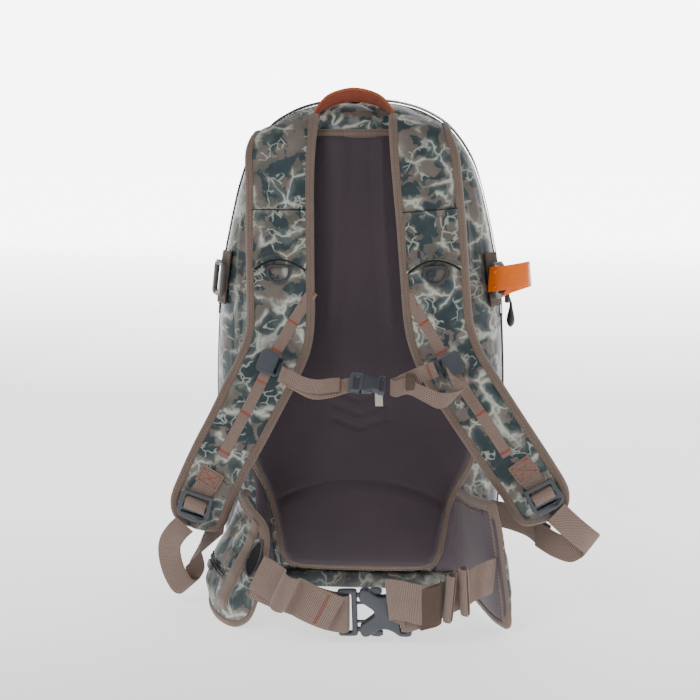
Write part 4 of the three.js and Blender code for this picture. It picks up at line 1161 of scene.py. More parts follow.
def make_patch(side):
    """The square of webbing boxed and crossed in red that holds the strap's end."""
    strip = PADS[side]
    points, uv, run = lay_on_pad(strip, PATCH[side], 26, 24, lambda f: 1.5, 1.9)
    shape = Shape()
    shape.grid(points, uv, wrap=True, caps=True)
    normal = strip.frame(0.85)[3]
    centre = points.mean(axis=(0, 1))
    ahead = unit(points[-1].mean(axis=0) - points[0].mean(axis=0))
    across = unit(np.cross(normal, ahead))
    top = normal * 1.25
    a, b = run * 0.4, 10.5
    corners = [(-a, -b), (-a, b), (a, b), (a, -b)]
    spot = [centre + ahead * u + across * v + top for u, v in corners]
    for i in range(4):
        stitch(shape, [spot[i], spot[(i + 1) % 4]], 2.4, 1.7, 0.42, finish=1)
    for i in range(2):
        stitch(shape, [spot[i], spot[i + 2]], 2.4, 1.7, 0.42, finish=1)
    for v in np.linspace(-b, b, 9)[1:-1]:
        line = [centre + ahead * u + across * v + top for u in (-a, a)]
        stitch(shape, line, 3.1, 1.2, 0.3, finish=1)
    shape.mesh("patch_" + side, [BROWN, RED], "harness", ("adjuster_patch_" + side,))


for pad_side in SIDES:
    make_pad(pad_side)
    make_pad_binding(pad_side)
    make_overlay(pad_side)
    make_daisy(pad_side)
    make_patch(pad_side)


# ------------------------------------------------------------ hardware made from the CAD shapes
def moulding(node, body, finish, bevel, angle=30, segments=3, lift=0.0):
    """A moulded copy of a CAD node with rounded edges, in its place or lift millimetres above it."""
    mesh = NODES[node].data.copy()
    mesh.materials.clear()
    mesh.materials.append(finish)
    mesh.transform(Matrix.Translation((0, 0, lift * MM)))
    piece = bpy.data.objects.new(node + "_moulded", mesh)
    bpy.context.scene.collection.objects.link(piece)
    if bevel:
        weld = piece.modifiers.new("weld", "WELD")
        weld.merge_threshold = 2e-5
        edge = piece.modifiers.new("edge", "BEVEL")
        edge.width, edge.segments, edge.limit_method = bevel * MM, segments, "ANGLE"
        edge.angle_limit = math.radians(angle)
        bpy.context.view_layer.update()
        shaped = bpy.data.meshes.new_from_object(piece.evaluated_get(bpy.context.evaluated_depsgraph_get()))
        piece.modifiers.clear()
        piece.data = shaped
        bpy.data.meshes.remove(mesh)
    piece.data.shade_smooth()
    piece.data.set_sharp_from_angle(angle=math.radians(50))
    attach(piece, body)
    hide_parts(node)
    return piece


def lay_webbing(name, rows, width, body, cad=(), thick=1.8, steps=80, finish=None, marks=()):
    """Webbing through stations, with rows of red stitches across it at the shares in marks."""
    strip = Strip(rows, width)
    shape = Shape()
    band(shape, strip, width, thick, steps)
    sewn = Shape()
    for share, spread, count in marks:
        for row in range(count):
            t = share + (row - (count - 1) / 2) * 1.3 / strip.length()
            for face in (1, -1):
                height = face * (thick / 2 + 0.15)
                ends = strip.at(np.full(9, t), np.linspace(-spread, spread, 9), np.full(9, height))
                stitch(sewn, ends, 2.3, 2.0, 0.45)
    if marks:
        sewn.mesh(name + "_stitches", [RED], body)
    return shape.mesh(name, [finish or BROWN], body, cad, 60)


# ------------------------------------------------------------ ladder locks, D-rings and lower adjusters
LOCKS = {"left": (-162, 115), "right": (201, 132)}
RINGS = {"left": (-77.5, 357), "right": (86.5, 357)}


def make_ring(side):
    """A D-ring, hung by its straight bar."""
    strip = PADS[side]
    t, off = strip.locate(*RINGS[side])
    centre, tangent, across, normal, _ = (v for v in strip.frame(t))
    centre = centre + across * off + normal * (PAD_TOP + 0.4 + 1.9)
    angle = np.linspace(0, np.pi, 26)
    path = [(math.cos(a) * 11.5, -math.sin(a) * 11.5) for a in angle]
    path += [(-11.4, 3), (-10.2, 5.2), (-7, 6), (0, 6), (7, 6), (10.2, 5.2), (11.4, 3)]
    places = [centre + across * w - tangent * d for w, d in path]
    shape = Shape()
    tube(shape, places, 1.8, sides=10, closed=True)
    shape.mesh("ring_" + side, [DARK], "d_ring_" + side, ("d_ring_" + side,))


def make_lock(side):
    """The ladder lock with the webbing that comes down the pad and through its bars."""
    strip = PADS[side]
    moulding("ladder_lock_" + side, "lock_" + side, SLATE, 0.9)
    t, off = strip.locate(*LOCKS[side])
    start, start_off = strip.locate(*PATCH[side][1])
    step = 1 / strip.length()
    low = PAD_TOP + 0.9
    mid = PAD_TOP + 6.4
    upper = [(start - 2 * step, start_off, low + 0.6), (start + 5 * step, start_off, low + 0.7),
             (t - 15 * step, off, low + 1.2), (t - 9.5 * step, off, low + 2.4),
             (t - 4 * step, off, low + 3.6)]
    over = [(t - 8.2 * step, off, mid - 5.4), (t - 7.0 * step, off, mid + 1.8),
            (t - 3.4 * step, off, mid + 3.8), (t + 1.2 * step, off, mid + 3.8),
            (t + 5.6 * step, off, mid + 2.0), (t + 7.4 * step, off, mid - 2.0)]
    for name, run, body in (("patch_strap_", upper, "harness"), ("lock_strap_", over, "lock_" + side)):
        rows = []
        for share, w, h in run:
            place = strip.at(np.array(share), np.array(w), np.array(h))
            rows.append((*place, *strip.frame(share)[2]))
        lay_webbing(name + side, rows, 23, body, steps=30)


TAILS = {
    "left": [(-173, -173, 95.5, 0.75, 0, -0.66), (-181, -175, 88, 0.8, 0.02, -0.6),
             (-188.5, -174, 76, 0.93, 0.06, -0.36), (-190, -171, 61, 0.98, 0.2, -0.05),
             (-186.5, -166, 41, 0.93, 0.3, 0.2), (-179, -159, 24, 0.8, 0.35, 0.48),
             (-171.5, -151, 22, 0.72, 0.35, 0.6), (-168, -145, 33, 0.8, 0.3, 0.5),
             (-171, -139, 47, 0.7, 0.2, 0.68)],
    "right": [(213, -174, 117, 0.66, 0, 0.75), (228, -174, 103, 0.66, 0, 0.75),
              (243, -171.5, 90, 0.66, 0, 0.75), (251, -166, 82, 0.62, 0, 0.78), (247, -161, 76, 0.5, 0, 0.86),
              (234, -157, 71, 0.33, 0, 0.94), (217, -149, 74, 0.25, 0, 0.97), (204, -141, 79, 0.2, 0, 0.98),
              (196, -134, 82, 0.1, 0, 0.98)],
}
ADJUSTERS = {
    "left": [(-150, -60, 66, 0.1, 0.3, 0.95), (-160, -84, 61, 0.1, 0.1, 0.98),
             (-167, -108, 56, 0.25, 0, 0.96), (-170, -130, 52, 0.5, 0, 0.86)],
    "right": [(151, -62, 84, -0.1, 0.3, 0.95), (168, -86, 87, -0.1, 0.2, 0.97),
              (186, -108, 86, -0.1, 0.1, 0.98), (200, -128, 81.5, 0.1, 0, 0.98),
              (208, -138, 78.5, 0.18, 0, 0.98)],
}
STRAP_WIDTH = {"left": 24, "right": 26}


def make_lower_straps(side):
    """The webbing below each ladder lock: its loose tail, and the length sewn to the bag."""
    tail = lay_webbing("strap_tail_" + side, TAILS[side], STRAP_WIDTH[side], "lock_" + side,
                       ("webbing_tail_" + side,), 1.7)
    length = Strip(TAILS[side]).length() * MM
    lay_webbing("lower_strap_" + side, ADJUSTERS[side], STRAP_WIDTH[side] + 3, "pack",
                ("adjuster_webbing_" + side,), 1.7)


for strap_side in SIDES:
    make_ring(strap_side)
    make_lock(strap_side)
    make_lower_straps(strap_side)


# ------------------------------------------------------------ hip wings
WINGS = {
    "left": {"outer": 1, "rows": [
        (-120, -95, 22, -116, -95, 112), (-138, -118, 12, -119, -112, 117), (-149, -150, 6, -113, -146, 121),
        (-139, -186, 2, -101, -182, 119), (-119, -212, 0, -85, -210, 112), (-96, -226, 6, -74, -226, 100)]},
    "right": {"outer": -1, "rows": [
        (113, -95, 22, 113, -95, 118), (127, -120, 13, 119, -120, 124), (141, -155, 7, 126, -155, 128),
        (155, -192, 4, 137, -192, 134), (168, -220, 6, 150, -220, 138)]},
}
WING_ROUND = {"left": 0.80, "right": 0.88}
HEM_WIDTH = 8.0
for wing in WINGS.values():
    low_edge, high_edge = np.array(wing["rows"], float)[:, :3], np.array(wing["rows"], float)[:, 3:]
    wing["strip"] = Strip(np.concatenate([(low_edge + high_edge) / 2, high_edge - low_edge], axis=1))


def wing_half(side, t):
    """Half height of a wing, rounding in at its tip."""
    start = WING_ROUND[side]
    end = np.clip((np.asarray(t, float) - start) / (1 - start), 0, 1)
    return (WINGS[side]["strip"].frame(t)[4] + 0.3) * np.clip(1 - end ** 3.2, 0, 1) ** (1 / 3.2)


def wing_shares(side, count):
    start = WING_ROUND[side]
    bend = start + (1 - start) * np.sin(np.linspace(0, np.pi / 2, 24))
    return np.concatenate([np.linspace(0, start, count), bend[1:]])


def make_wing(side):
    """The foam wing: camo outside, brushed foam inside, thinning to its bound edge."""
    strip, outer = WINGS[side]["strip"], WINGS[side]["outer"]
    t = wing_shares(side, 70)
    columns = 34
    across = np.sin(np.linspace(-np.pi / 2, np.pi / 2, columns))
    half = np.maximum(wing_half(side, t) - 1.0, 0.1)
    w = half[:, None] * across
    tt = np.tile(t[:, None], (1, columns))
    inside = np.clip(half[:, None] - np.abs(w), 0, None)
    thick = 2.2 + 2.2 * smooth(0, 13, inside)
    places = strip.at(tt, w, thick)
    out_face = strip.at(tt, w, outer * (thick + 0.25 * ripple(places, 26, 2)))
    in_face = strip.at(tt, w, -outer * (thick + 0.45 * ripple(places, 38, 6)))
    uv = np.stack([tt * strip.length(), w], axis=-1)
    shape = Shape()
    shape.grid(out_face, uv)
    shape.grid(in_face, uv, finish=1)
    shape.close(out_face, in_face, (0,), finish=1)
    piece = shape.mesh("wing_" + side, [CAMO_WING, WING_FOAM], "hip_belt", ("hip_wing_" + side,))
    hem = Shape()
    t_hem = np.linspace(0.06, 0.8, 90)
    drop = wing_half(side, t_hem) - 15
    face = -outer * 4.9
    edge = strip.at(t_hem, drop, np.full(90, face))
    upper = strip.at(t_hem, drop + HEM_WIDTH, np.full(90, face))
    run = np.stack([t_hem * 150, t_hem * 0], axis=1)
    hem.grid(np.stack([edge, upper], axis=1), np.stack([run, run + [0, HEM_WIDTH]], axis=1))
    zigzag = strip.at(t_hem, drop + 2.4 + 2.4 * (np.arange(90) % 2), np.full(90, face - outer * 0.35))
    stitch(hem, zigzag, 2.6, 2.4, 0.34, finish=1)
    stitch(hem, edge, 3.2, 2.4, 0.34, finish=1)
    hem.mesh("wing_hem_" + side, [MESH, THREAD], "hip_belt")


def make_wing_trim(side):
    """The webbing folded round a wing's edge, stitched on both faces."""
    strip = WINGS[side]["strip"]
    t = wing_shares(side, 70)
    t = t[t > 0.03]
    shares = np.concatenate([t, t[::-1][1:]])
    sign = np.concatenate([np.ones(len(t)), -np.ones(len(t) - 1)])
    path = strip.at(shares, sign * wing_half(side, shares), 0 * shares)
    keep = np.concatenate([[True], np.linalg.norm(np.diff(path, axis=0), axis=1) > 0.5])
    path, shares = path[keep], shares[keep]
    normal = strip.frame(shares)[3]
    inward = unit(np.cross(unit(np.gradient(path, axis=0)), normal))
    middle = strip.at(np.array(0.5), np.array(0.0), np.array(0.0))
    if (inward[5] * (middle - path[5])).sum() < 0:
        inward = -inward
    b = BINDING
    section = [(b, 4.5), (b - 1.2, 5.1), (b * 0.5, 4.7), (1.4, 3.7), (0, 2.2), (-0.5, 0), (0, -2.2),
               (1.4, -3.7), (b * 0.5, -4.7), (b - 1.2, -5.1), (b, -4.5), (2.4, -2.6), (2.4, 2.6)]
    rings = np.array([[p + o * w + n * h for w, h in section] for p, o, n in zip(path, inward, normal)])
    run = run_of(path)
    uv = section_uv(run, section)
    shape = Shape()
    shape.grid(rings, uv, wrap=True, caps=True)
    for lift in (5.2, -5.2):
        stitch(shape, path + inward * (b - 2.0) + normal * lift, 3.8, 2.6, 0.36, finish=1)
    shape.mesh("wing_trim_" + side, [TRIM, THREAD], "hip_belt", ("wing_binding_" + side,))


POCKET_SPAN = {"left": (0.34, 0.965), "right": (0.28, 0.93)}
POCKET_FOOT = 5.0
POCKET_BULGE = 11
BAND_AT = {"left": (0.77, 0.035), "right": (0.835, 0.012)}
MOUTH_AT = {"left": (0.905, 0.05), "right": (0.90, 0.016)}


def pocket_height(side, t, u):
    """Height of a wing pocket's face above the wing's middle; t goes along it, and u up its half height."""
    first, last = POCKET_SPAN[side]
    f = np.clip((np.asarray(t) - first) / (last - first), 0, 1)
    length_way = smooth(0, 0.22, f) * smooth(1, 0.80, f)
    up = smooth(-0.86, -0.5, u) * smooth(0.62, -0.05, u)
    gusset = np.minimum(length_way, smooth(-0.86, -0.8, u) * smooth(0.74, 0.68, u))
    return POCKET_FOOT + POCKET_BULGE * (0.18 * gusset + 0.82 * length_way * up)


def on_pocket(side, t, u, lift=0.0):
    """A point on a wing pocket's face, or lift millimetres above it."""
    strip, outer = WINGS[side]["strip"], WINGS[side]["outer"]
    t, u = np.asarray(t, float), np.asarray(u, float)
    return strip.at(t, u * wing_half(side, t), outer * (pocket_height(side, t, u) + lift))


def make_wing_pocket(side):
    """A gusseted pocket that bulges from the wing, with its zip and the bound mouth near the tip."""
    first, last = POCKET_SPAN[side]
    t, u = np.meshgrid(np.linspace(first, last, 80), np.linspace(-0.87, 0.75, 60), indexing="ij")
    lumps = ripple(np.stack([t * 160, u * 20, u * 0], axis=-1), 13, 3)
    slack = 0.8 * lumps * smooth(-0.86, -0.6, u) * smooth(0.74, 0.5, u)
    half = WINGS[side]["strip"].frame(0.6)[4]
    uv = np.stack([t * 150, u * half], axis=-1)
    shape = Shape()
    shape.grid(on_pocket(side, t, u, slack), uv)
    shape.mesh("wing_pocket_" + side, [CAMO_WING], "hip_belt", ("hip_pocket_" + side,))
    trim = Shape()
    slit = np.linspace(first + 0.08, BAND_AT[side][0] - 0.06, 60)
    for offset in (-0.075, 0.045):
        lower = on_pocket(side, slit, slit * 0 - 0.15 + offset, 0.55)
        upper = on_pocket(side, slit, slit * 0 - 0.12 + offset, 1.25)
        trim.grid(np.stack([lower, upper], axis=1), finish=1)
    tube(trim, on_pocket(side, slit, slit * 0 - 0.14, 0.9), 1.3, sides=8, finish=2)
    bend = np.linspace(0, 1, 60)
    centre_t = BAND_AT[side][0] + BAND_AT[side][1] * np.sin(bend * 2 * np.pi * 0.6)
    centre_u = 0.93 - 1.66 * bend
    edges = ((-0.054, 0.3), (-0.047, 1.2), (0.047, 1.2), (0.054, 0.3))
    rings = [on_pocket(side, centre_t + d, centre_u, h) for d, h in edges]
    points = np.stack(rings, axis=1)
    uv = np.stack([np.tile(bend[:, None] * 100, (1, 4)), np.tile([-5.0, -4.0, 4.0, 5.0], (60, 1))], axis=-1)
    trim.grid(points, uv, finish=0)
    stitch(trim, on_pocket(side, centre_t + 0.04, centre_u, 1.4), 3.2, 2.4, 0.3, finish=3)
    mouth = np.linspace(0, 1, 40)
    wide = MOUTH_AT[side][1] * np.sin(np.pi * mouth) ** 0.8
    mouth_u = 0.86 - 0.80 * mouth
    mouth_t = MOUTH_AT[side][0] + 0.012 * np.cos(mouth * 5)
    spread = np.linspace(-1, 1, 12)
    # The mouth's opening is a near-black sheet: painted shade of the pocket's inside.
    hole = on_pocket(side, mouth_t[:, None] + wide[:, None] * spread, np.tile(mouth_u[:, None], (1, 12)), 0.8)
    trim.grid(hole, finish=4)
    for edge_side in (-1, 1):
        rim = on_pocket(side, mouth_t + wide * edge_side, mouth_u, 1.2)
        tube(trim, rim, 1.05, sides=8, finish=2)
        stitch(trim, on_pocket(side, mouth_t + (wide + 0.018) * edge_side, mouth_u, 1.0), 3.2, 2.4, 0.3,
               finish=3)
    trim.mesh("wing_zip_" + side, [TRIM, TAPE, DARK, THREAD, PAINTED_SHADE_SHEET], "hip_belt")
    moulding("hip_zip_slider_" + side, "hip_slider_" + side, DARK, 0.9)


def make_root(side):
    """Foam on the bag's back, between the back panel's edge and the wing's root."""
    sign = -1 if side == "left" else 1
    z = np.linspace(16, 146, 40)
    inner = np.interp(z, [16, 90, 146], [88, 98, 110])
    outer = np.interp(z, [16, 110, 122, 146], [111, 111, 113, 122])
    g = np.linspace(0, 1, 24)
    x = sign * (inner[:, None] + (outer - inner)[:, None] * g)
    zz = np.tile(z[:, None], (1, 24))
    puff = 1.6 + 1.6 * np.sin(np.pi * g)[None] * np.sin(np.pi * (zz - 16) / 130)
    front = np.stack([x, back_y(x, zz, 0.0) - puff, zz], axis=-1)
    rear = front + np.array([0, 1.2, 0])
    shape = Shape()
    shape.grid(front)
    shape.grid(rear)
    shape.close(front, rear, (0, -1))
    shape.mesh("wing_root_" + side, [WING_FOAM], "pack")


def make_lumbar_sleeve():
    """The camo sleeve under the back panel that the hip belt passes through, its camo darkened as painted
    shade.
    """
    x = np.linspace(-106, 108, 60)
    heights = np.linspace(-1, 1, 16)
    xx, hh = np.meshgrid(x, heights, indexing="ij")
    zz = 12 + 9 * hh
    wall = back_y(xx, 42 + 0 * zz, 0.0)
    lumps = ripple(np.stack([xx, hh, hh], axis=-1), 22, 5)
    puff = 2.0 + 4.0 * np.sqrt(np.clip(1 - hh * hh, 0, 1)) + 0.6 * lumps
    front = np.stack([xx, wall - puff, zz], axis=-1)
    rear = np.stack([xx, wall + 1.5, zz], axis=-1)
    uv = np.stack([xx, hh * 9], axis=-1)
    shape = Shape()
    shape.grid(front, uv)
    shape.grid(rear, uv)
    shape.close(front, rear, (0, -1))
    shape.mesh("lumbar_sleeve", [CAMO_PAINTED_SHADE], "pack")


make_lumbar_sleeve()
for wing_side in SIDES:
    make_root(wing_side)
    make_wing(wing_side)
    make_wing_trim(wing_side)
    make_wing_pocket(wing_side)


# ------------------------------------------------------------ hip belt webbing and buckle
def make_belt():
    """The belt's webbing, with its tails folded back and rolled under their keepers."""
    inner = [(-90, -233, 56, 0.38, 0, 0.92), (-66, -242, 49, 0.38, 0, 0.92), (-42, -245.5, 42, 0.3, 0, 0.95),
             (-26, -244.5, 36, 0.12, 0, 0.99), (-9, -243, 31.5, 0, 0, 1), (1, -242.5, 31.2, 0, 0, 1),
             (5.3, -246, 31.2, 0, 0, 1), (5.3, -254, 31.2, 0, 0, 1), (1, -256.5, 31.2, 0, 0, 1),
             (-8, -256, 32, 0.1, 0, 0.99), (-20, -255, 35, 0.3, 0, 0.95)]
    lay_webbing("belt_strap_left", inner, BELT_W, "belt_plug", ("belt_webbing_left",), 1.9, 110)
    front = [(-88, -236, 66, 0.42, -0.05, 0.9), (-78, -243, 63, 0.42, 0, 0.9),
             (-69, -248.5, 59, 0.42, 0, 0.9), (-64.5, -252, 57, 0.42, 0, 0.9),
             (-63.5, -261, 56, 0.4, 0, 0.91), (-58.5, -266.5, 54, 0.4, 0, 0.91),
             (-52, -264, 51.5, 0.42, 0, 0.9), (-50.5, -255.5, 50, 0.42, 0, 0.9),
             (-45, -254, 47.5, 0.43, 0, 0.9), (-34, -258, 43, 0.45, 0, 0.89), (-20, -261, 38, 0.46, 0, 0.88),
             (-6, -262, 33.5, 0.47, 0, 0.88)]
    flap = lay_webbing("belt_tail_left", front, 39, "belt_plug", (), 1.9, 140, marks=((0.91, 17, 2),))
    Strip(front).length() * MM
    right = [(150, -219, 63, 0.1, 0, 0.99), (140, -228, 62, 0.08, 0, 0.99), (130, -231.5, 58, 0.05, 0, 0.99),
             (121, -238.5, 54, 0, 0, 1), (112, -238, 50, 0, 0, 1), (101, -241.5, 45, 0, 0, 1),
             (90, -242, 41, 0, 0, 1), (70, -240.5, 34.6, 0, 0, 1), (59.4, -243.5, 33.3, 0, 0, 1),
             (59.4, -254.5, 33.3, 0, 0, 1), (67, -257, 34.4, 0, 0, 1), (79, -257, 38.5, 0, 0, 1),
             (90, -256, 42, 0, 0, 1), (98, -252.5, 46, 0, 0, 1)]
    lay_webbing("belt_strap_right", right, BELT_W, "hip_belt", ("belt_webbing_right",), 1.9, 150)
    roll = [(93, -254.5, 44, 0, 0, 1), (84, -259.5, 43, -0.02, 0, 1), (74, -263, 46, -0.06, 0, 1),
            (60, -265, 50, -0.12, 0, 1), (49, -264, 51, -0.14, 0, 1), (45, -260, 49, -0.12, 0, 1),
            (51, -258, 46, -0.08, 0, 1), (62, -259.6, 42, 0, 0, 1)]
    big = lay_webbing("belt_roll", roll, 42, "hip_belt", (), 1.9, 110)
    Strip(roll).length() * MM
    keeper = [(77, -256, 39, 0, 0, 1), (78, -261.5, 39.5, 0, 0, 1), (84, -262.6, 41.5, 0, 0, 1),
              (93, -261.6, 44, 0, 0, 1), (97.5, -257.5, 46, 0, 0, 1), (96.5, -250, 46, 0, 0, 1)]
    lay_webbing("belt_keeper", keeper, 42, "hip_belt", (), 1.5, 70, finish=KEEPER)
    for k, (x, y, z, tall) in enumerate(((105, -249, 51, 48), (119, -245, 57, 48))):
        loop = []
        for a in np.linspace(-0.5, 2 * np.pi - 1.3, 13):
            loop.append((x + 5.0 * math.cos(a) + 0.5 * a, y - 6.5 + 7.5 * math.sin(a), z, 0.08 - 0.14 * k, 0,
                         1))
        lay_webbing(f"belt_fold_{k + 1}", loop, tall, "hip_belt", (), 1.8, 60)


make_belt()


# ------------------------------------------------------------ buckles
SOCKET_PLATE = 3.6
BELT_PLACE = ((15, -250, 32), (1, 0.02, 0.03), (0, -0.06, 1))
CHEST_PLACE = ((13, -166, 247), (1, 0, -0.1), (0.06, 0.82, 0.57))


def mirrored(half):
    """A closed outline from its upper half."""
    return half + [(x, -y) for x, y in reversed(half) if y > 0.01]


def make_belt_buckle():
    """Side-release buckle: a socket with a waisted, ribbed face, and a plug with two bowed arms."""
    half = [(16.5, 0), (15, 3.5), (9, 8), (3.5, 12), (1.5, 17), (2.5, 22), (5, 24.4), (9, 24.6), (14, 22),
            (19, 18.6), (24, 17), (29, 17.4), (34, 19.6), (38, 22.5), (41, 24.4), (44, 25), (50, 25),
            (53, 22), (53, 10), (53, 0)]
    outline = soft_loop(mirrored(half), 120)
    slot = rounded(41.5, 47.8, -20.4, 20.4, 2.2)
    origin, ex, ey = (np.array(v, float) for v in BELT_PLACE)
    ex = unit(ex)
    ez = unit(np.cross(ex, ey))

    def dome(x, y):
        """How far each face bows outwards round the socket's waist."""
        return 0.9 * math.exp(-((x - 20) / 16) ** 2 - (y / 15) ** 2)

    for name, face, cad in (("socket_face", 1, ("belt_buckle_socket",)), ("socket_back", -1, ())):
        place = (origin + ez * face * SOCKET_PLATE, ex, ey)
        moulded(name, outline, [slot], SOCKET_PLATE, SLATE, "hip_belt", place, 1.5, cad=cad,
                warp=lambda x, y, face=face: face * dome(x, y))
    shape = Shape()
    ey = np.cross(ez, ex)

    def at(x, y, z):
        return origin + ex * x + ey * y + ez * z

    for y in (-21.5, 21.5):
        tube(shape, [at(42, y, 0), at(49, y, 0), at(51, y * 0.98, 0)], 4.2, sides=10)
    tube(shape, [at(50.4, -21, 0), at(50.4, 0, 0), at(50.4, 21, 0)], 3.4, sides=12)
    tube(shape, [at(39, -20, 0), at(39, 0, 0), at(39, 20, 0)], 2.8, sides=12)
    for sign in (-1, 1):
        for x in (25, 28, 31):
            tube(shape, [at(x, -9, sign * 5.5), at(x, 0, sign * 5.8), at(x, 9, sign * 5.5)], 0.5, sides=6)
    shape.mesh("socket_frame", [SLATE], "hip_belt")
    frame_half = [(-20, 20), (-19, 23.4), (-16, 24.4), (-4, 24.4), (-1, 23), (-0.6, 19), (-0.6, 0)]
    plug_outline = mirrored([(-20, 0)] + frame_half)
    window = rounded(-13.6, -6.2, -20.2, 20.2, 2)
    moulded("plug_frame", soft_loop(plug_outline, 90), [window], 7.6, SLATE, "belt_plug", BELT_PLACE, 2.0,
            cad=("belt_buckle_plug",))
    for name, y in (("plug_rail_upper", 9.8), ("plug_rail_lower", -9.8)):
        rail = [(-3, y - 1.4), (14, y - 1.1), (14, y + 1.1), (-3, y + 1.4)]
        moulded(name, rail, [], 3.4, SLATE, "belt_plug", BELT_PLACE, 0.8)
    arm = [(-3, 16), (6, 15.4), (12, 16.2), (17, 18.2), (22, 19.0), (24.4, 20.5), (24.4, 24.2), (20, 26),
           (14, 25.2), (9, 22.6), (3, 20.6), (-3, 20.4)]
    for name, sign in (("arm_upper", 1), ("arm_lower", -1)):
        outline = [(x, sign * y) for x, y in arm]
        moulded("plug_" + name, outline[::sign], [], 4.8, SLATE, name, BELT_PLACE, 1.5,
                cad=("buckle_" + name,))


def make_chest_buckle():
    """The small side-release buckle of the sternum strap."""
    half = [(0, 7), (0, 11.4), (1.5, 12), (6, 11.8), (9, 10), (12, 8.8), (15, 9.6), (18, 11.6), (22, 12),
            (24, 10.6), (24, 0)]
    slot = rounded(18.7, 21.6, -9.6, 9.6, 1)
    moulded("chest_socket", soft_loop(mirrored(half), 80), [slot], 6.6, SLATE, "sternum_strap", CHEST_PLACE,
            1.6, cad=("sternum_buckle_socket",))
    plug = mirrored([(-12, 0), (-12, 10.6), (-11, 11.6), (-2, 11.6), (-0.8, 10), (-0.8, 4)])
    window = rounded(-8.2, -3.6, -9.6, 9.6, 1)
    moulded("chest_plug", plug, [window], 5.2, SLATE, "sternum_plug", CHEST_PLACE, 1.2,
            cad=("sternum_buckle_plug",))
    arm = [(-1, 6.4), (3, 6.4), (7, 8.4), (10.6, 8.6), (10.6, 12), (7, 12.4), (3, 9.6), (-1, 9)]
    for name, sign in (("chest_arm_lower", -1), ("chest_arm_upper", 1)):
        outline = [(x, sign * y) for x, y in arm]
        moulded(name, outline[::sign], [], 3.0, SLATE, "sternum_plug", CHEST_PLACE, 0.9)


make_belt_buckle()
make_chest_buckle()


# ------------------------------------------------------------ sternum strap
def make_sternum():
    """The strap across the chest, with its sliders, spare webbing, keeper and tag."""
    for side in SIDES:
        moulding("sternum_slider_" + side, "sternum_strap", SLATE, 1.0)
    left = [(-73, -158, 255, 0.35, 0, 0.94), (-56, -165, 247, 0.3, 0, 0.95),
            (-38, -168, 239, 0.15, 0.1, 0.97), (-22, -168, 240, 0, 0.3, 0.95), (-2, -166.5, 245, 0, 0.6, 0.8),
            (4.5, -167, 246.5, 0, 0.7, 0.7)]
    lay_webbing("chest_strap_left", left, STERNUM_W, "sternum_plug", ("sternum_webbing_left",), 1.4, 70,
                marks=((0.13, 7.5, 2), (0.86, 7.5, 4)))
    spare = [(-66, -163.5, 254.5, 0.35, 0, 0.94), (-50, -168.5, 247, 0.3, 0, 0.95),
             (-34, -170.5, 244, 0.15, 0.1, 0.97), (-20, -170.2, 245.5, 0, 0.3, 0.95),
             (-10, -169.4, 246.5, 0, 0.5, 0.86)]
    lay_webbing("chest_strap_spare", spare, 15, "sternum_plug", (), 1.2, 50)
    right = [(88, -158, 262, -0.4, 0, 0.91), (74, -163, 257, -0.3, 0, 0.95),
             (57, -166, 250, -0.15, 0.2, 0.96), (47, -164.5, 245.5, 0, 0.4, 0.91),
             (42.5, -168, 244.5, 0, 0.4, 0.91), (48, -171, 243, 0, 0.4, 0.91),
             (60, -172, 246, -0.1, 0.2, 0.97), (76, -174.5, 239, -0.1, 0.1, 0.97),
             (94, -175, 232, 0.2, 0, 0.95), (110, -172.5, 237, 0.6, -0.1, 0.75),
             (114, -170, 249, 0.9, -0.2, 0.3), (104, -169, 259, 0.55, -0.2, -0.75)]
    tail = lay_webbing("chest_strap_right", right, STERNUM_W, "sternum_strap", ("sternum_webbing_right",),
                       1.4, 140, marks=((0.335, 7.5, 3), (0.05, 7.5, 2)))
    Strip(right).length() * MM
    keeper = Shape()
    loop = []
    for a in np.linspace(0, 2 * np.pi, 25):
        loop.append((63 + 0.6 * math.cos(a), -168.6 + 5.4 * math.cos(a), 248 + 10.5 * math.sin(a), 1, 0,
                     -0.05))
    band(keeper, Strip(loop), 9, 1.3, 60)
    keeper.mesh("chest_keeper", [KEEPER], "sternum_strap")
    tag = [(30.5, -171, 240, 1, 0, 0), (30.6, -174, 237, 1, 0, 0), (30.8, -174.5, 231, 1, 0, 0),
           (31, -174, 225.5, 1, 0, 0)]
    lay_webbing("chest_tag", tag, 8, "sternum_strap", (), 1.6, 24, finish=PALE)
    clip = Shape()
    tube(clip, [(26, -172, 243), (28, -174.5, 240.4), (34, -174.5, 239.8), (36, -172, 242)], 1.0, sides=8)
    clip.mesh("chest_tag_clip", [SLATE], "sternum_strap")


make_sternum()


# ------------------------------------------------------------ side lash points, rod loop and main zip pull
def make_lash(side):
    """A doubled webbing tab on the bag's rear corner, with a frame that a lashing strap goes through."""
    sign = -1 if side == "left" else 1
    rows = []
    for z in np.linspace(314, 372, 9):
        xa, xb = (float(zip_x(share_at(z), y)) for y in (-62, -34))
        lift = 1.7
        across = unit(np.array([sign * (xb - xa), 28, 0]))
        middle = float(zip_x(share_at(z), -48))
        rows.append((sign * (middle + lift * 0.87), -48 - lift * 0.49, z, *across))
    shape = Shape()
    strip = Strip(rows, 26)
    band(shape, strip, 26, 2.2, 40)
    for end in (0.06, 0.94):
        for face in (-sign * 1.3, sign * 1.3):
            ends = strip.at(np.full(9, end), np.linspace(-10, 10, 9), np.full(9, face))
            stitch(shape, ends, 2.4, 2.0, 0.4, finish=1)
    shape.mesh("lash_tab_" + side, [KEEPER, THREAD], "pack", ("lash_tape_" + side,))
    moulding("lash_buckle_" + side, "pack", GREY, 1.4, lift=5)


for lash_side in SIDES:
    make_lash(lash_side)


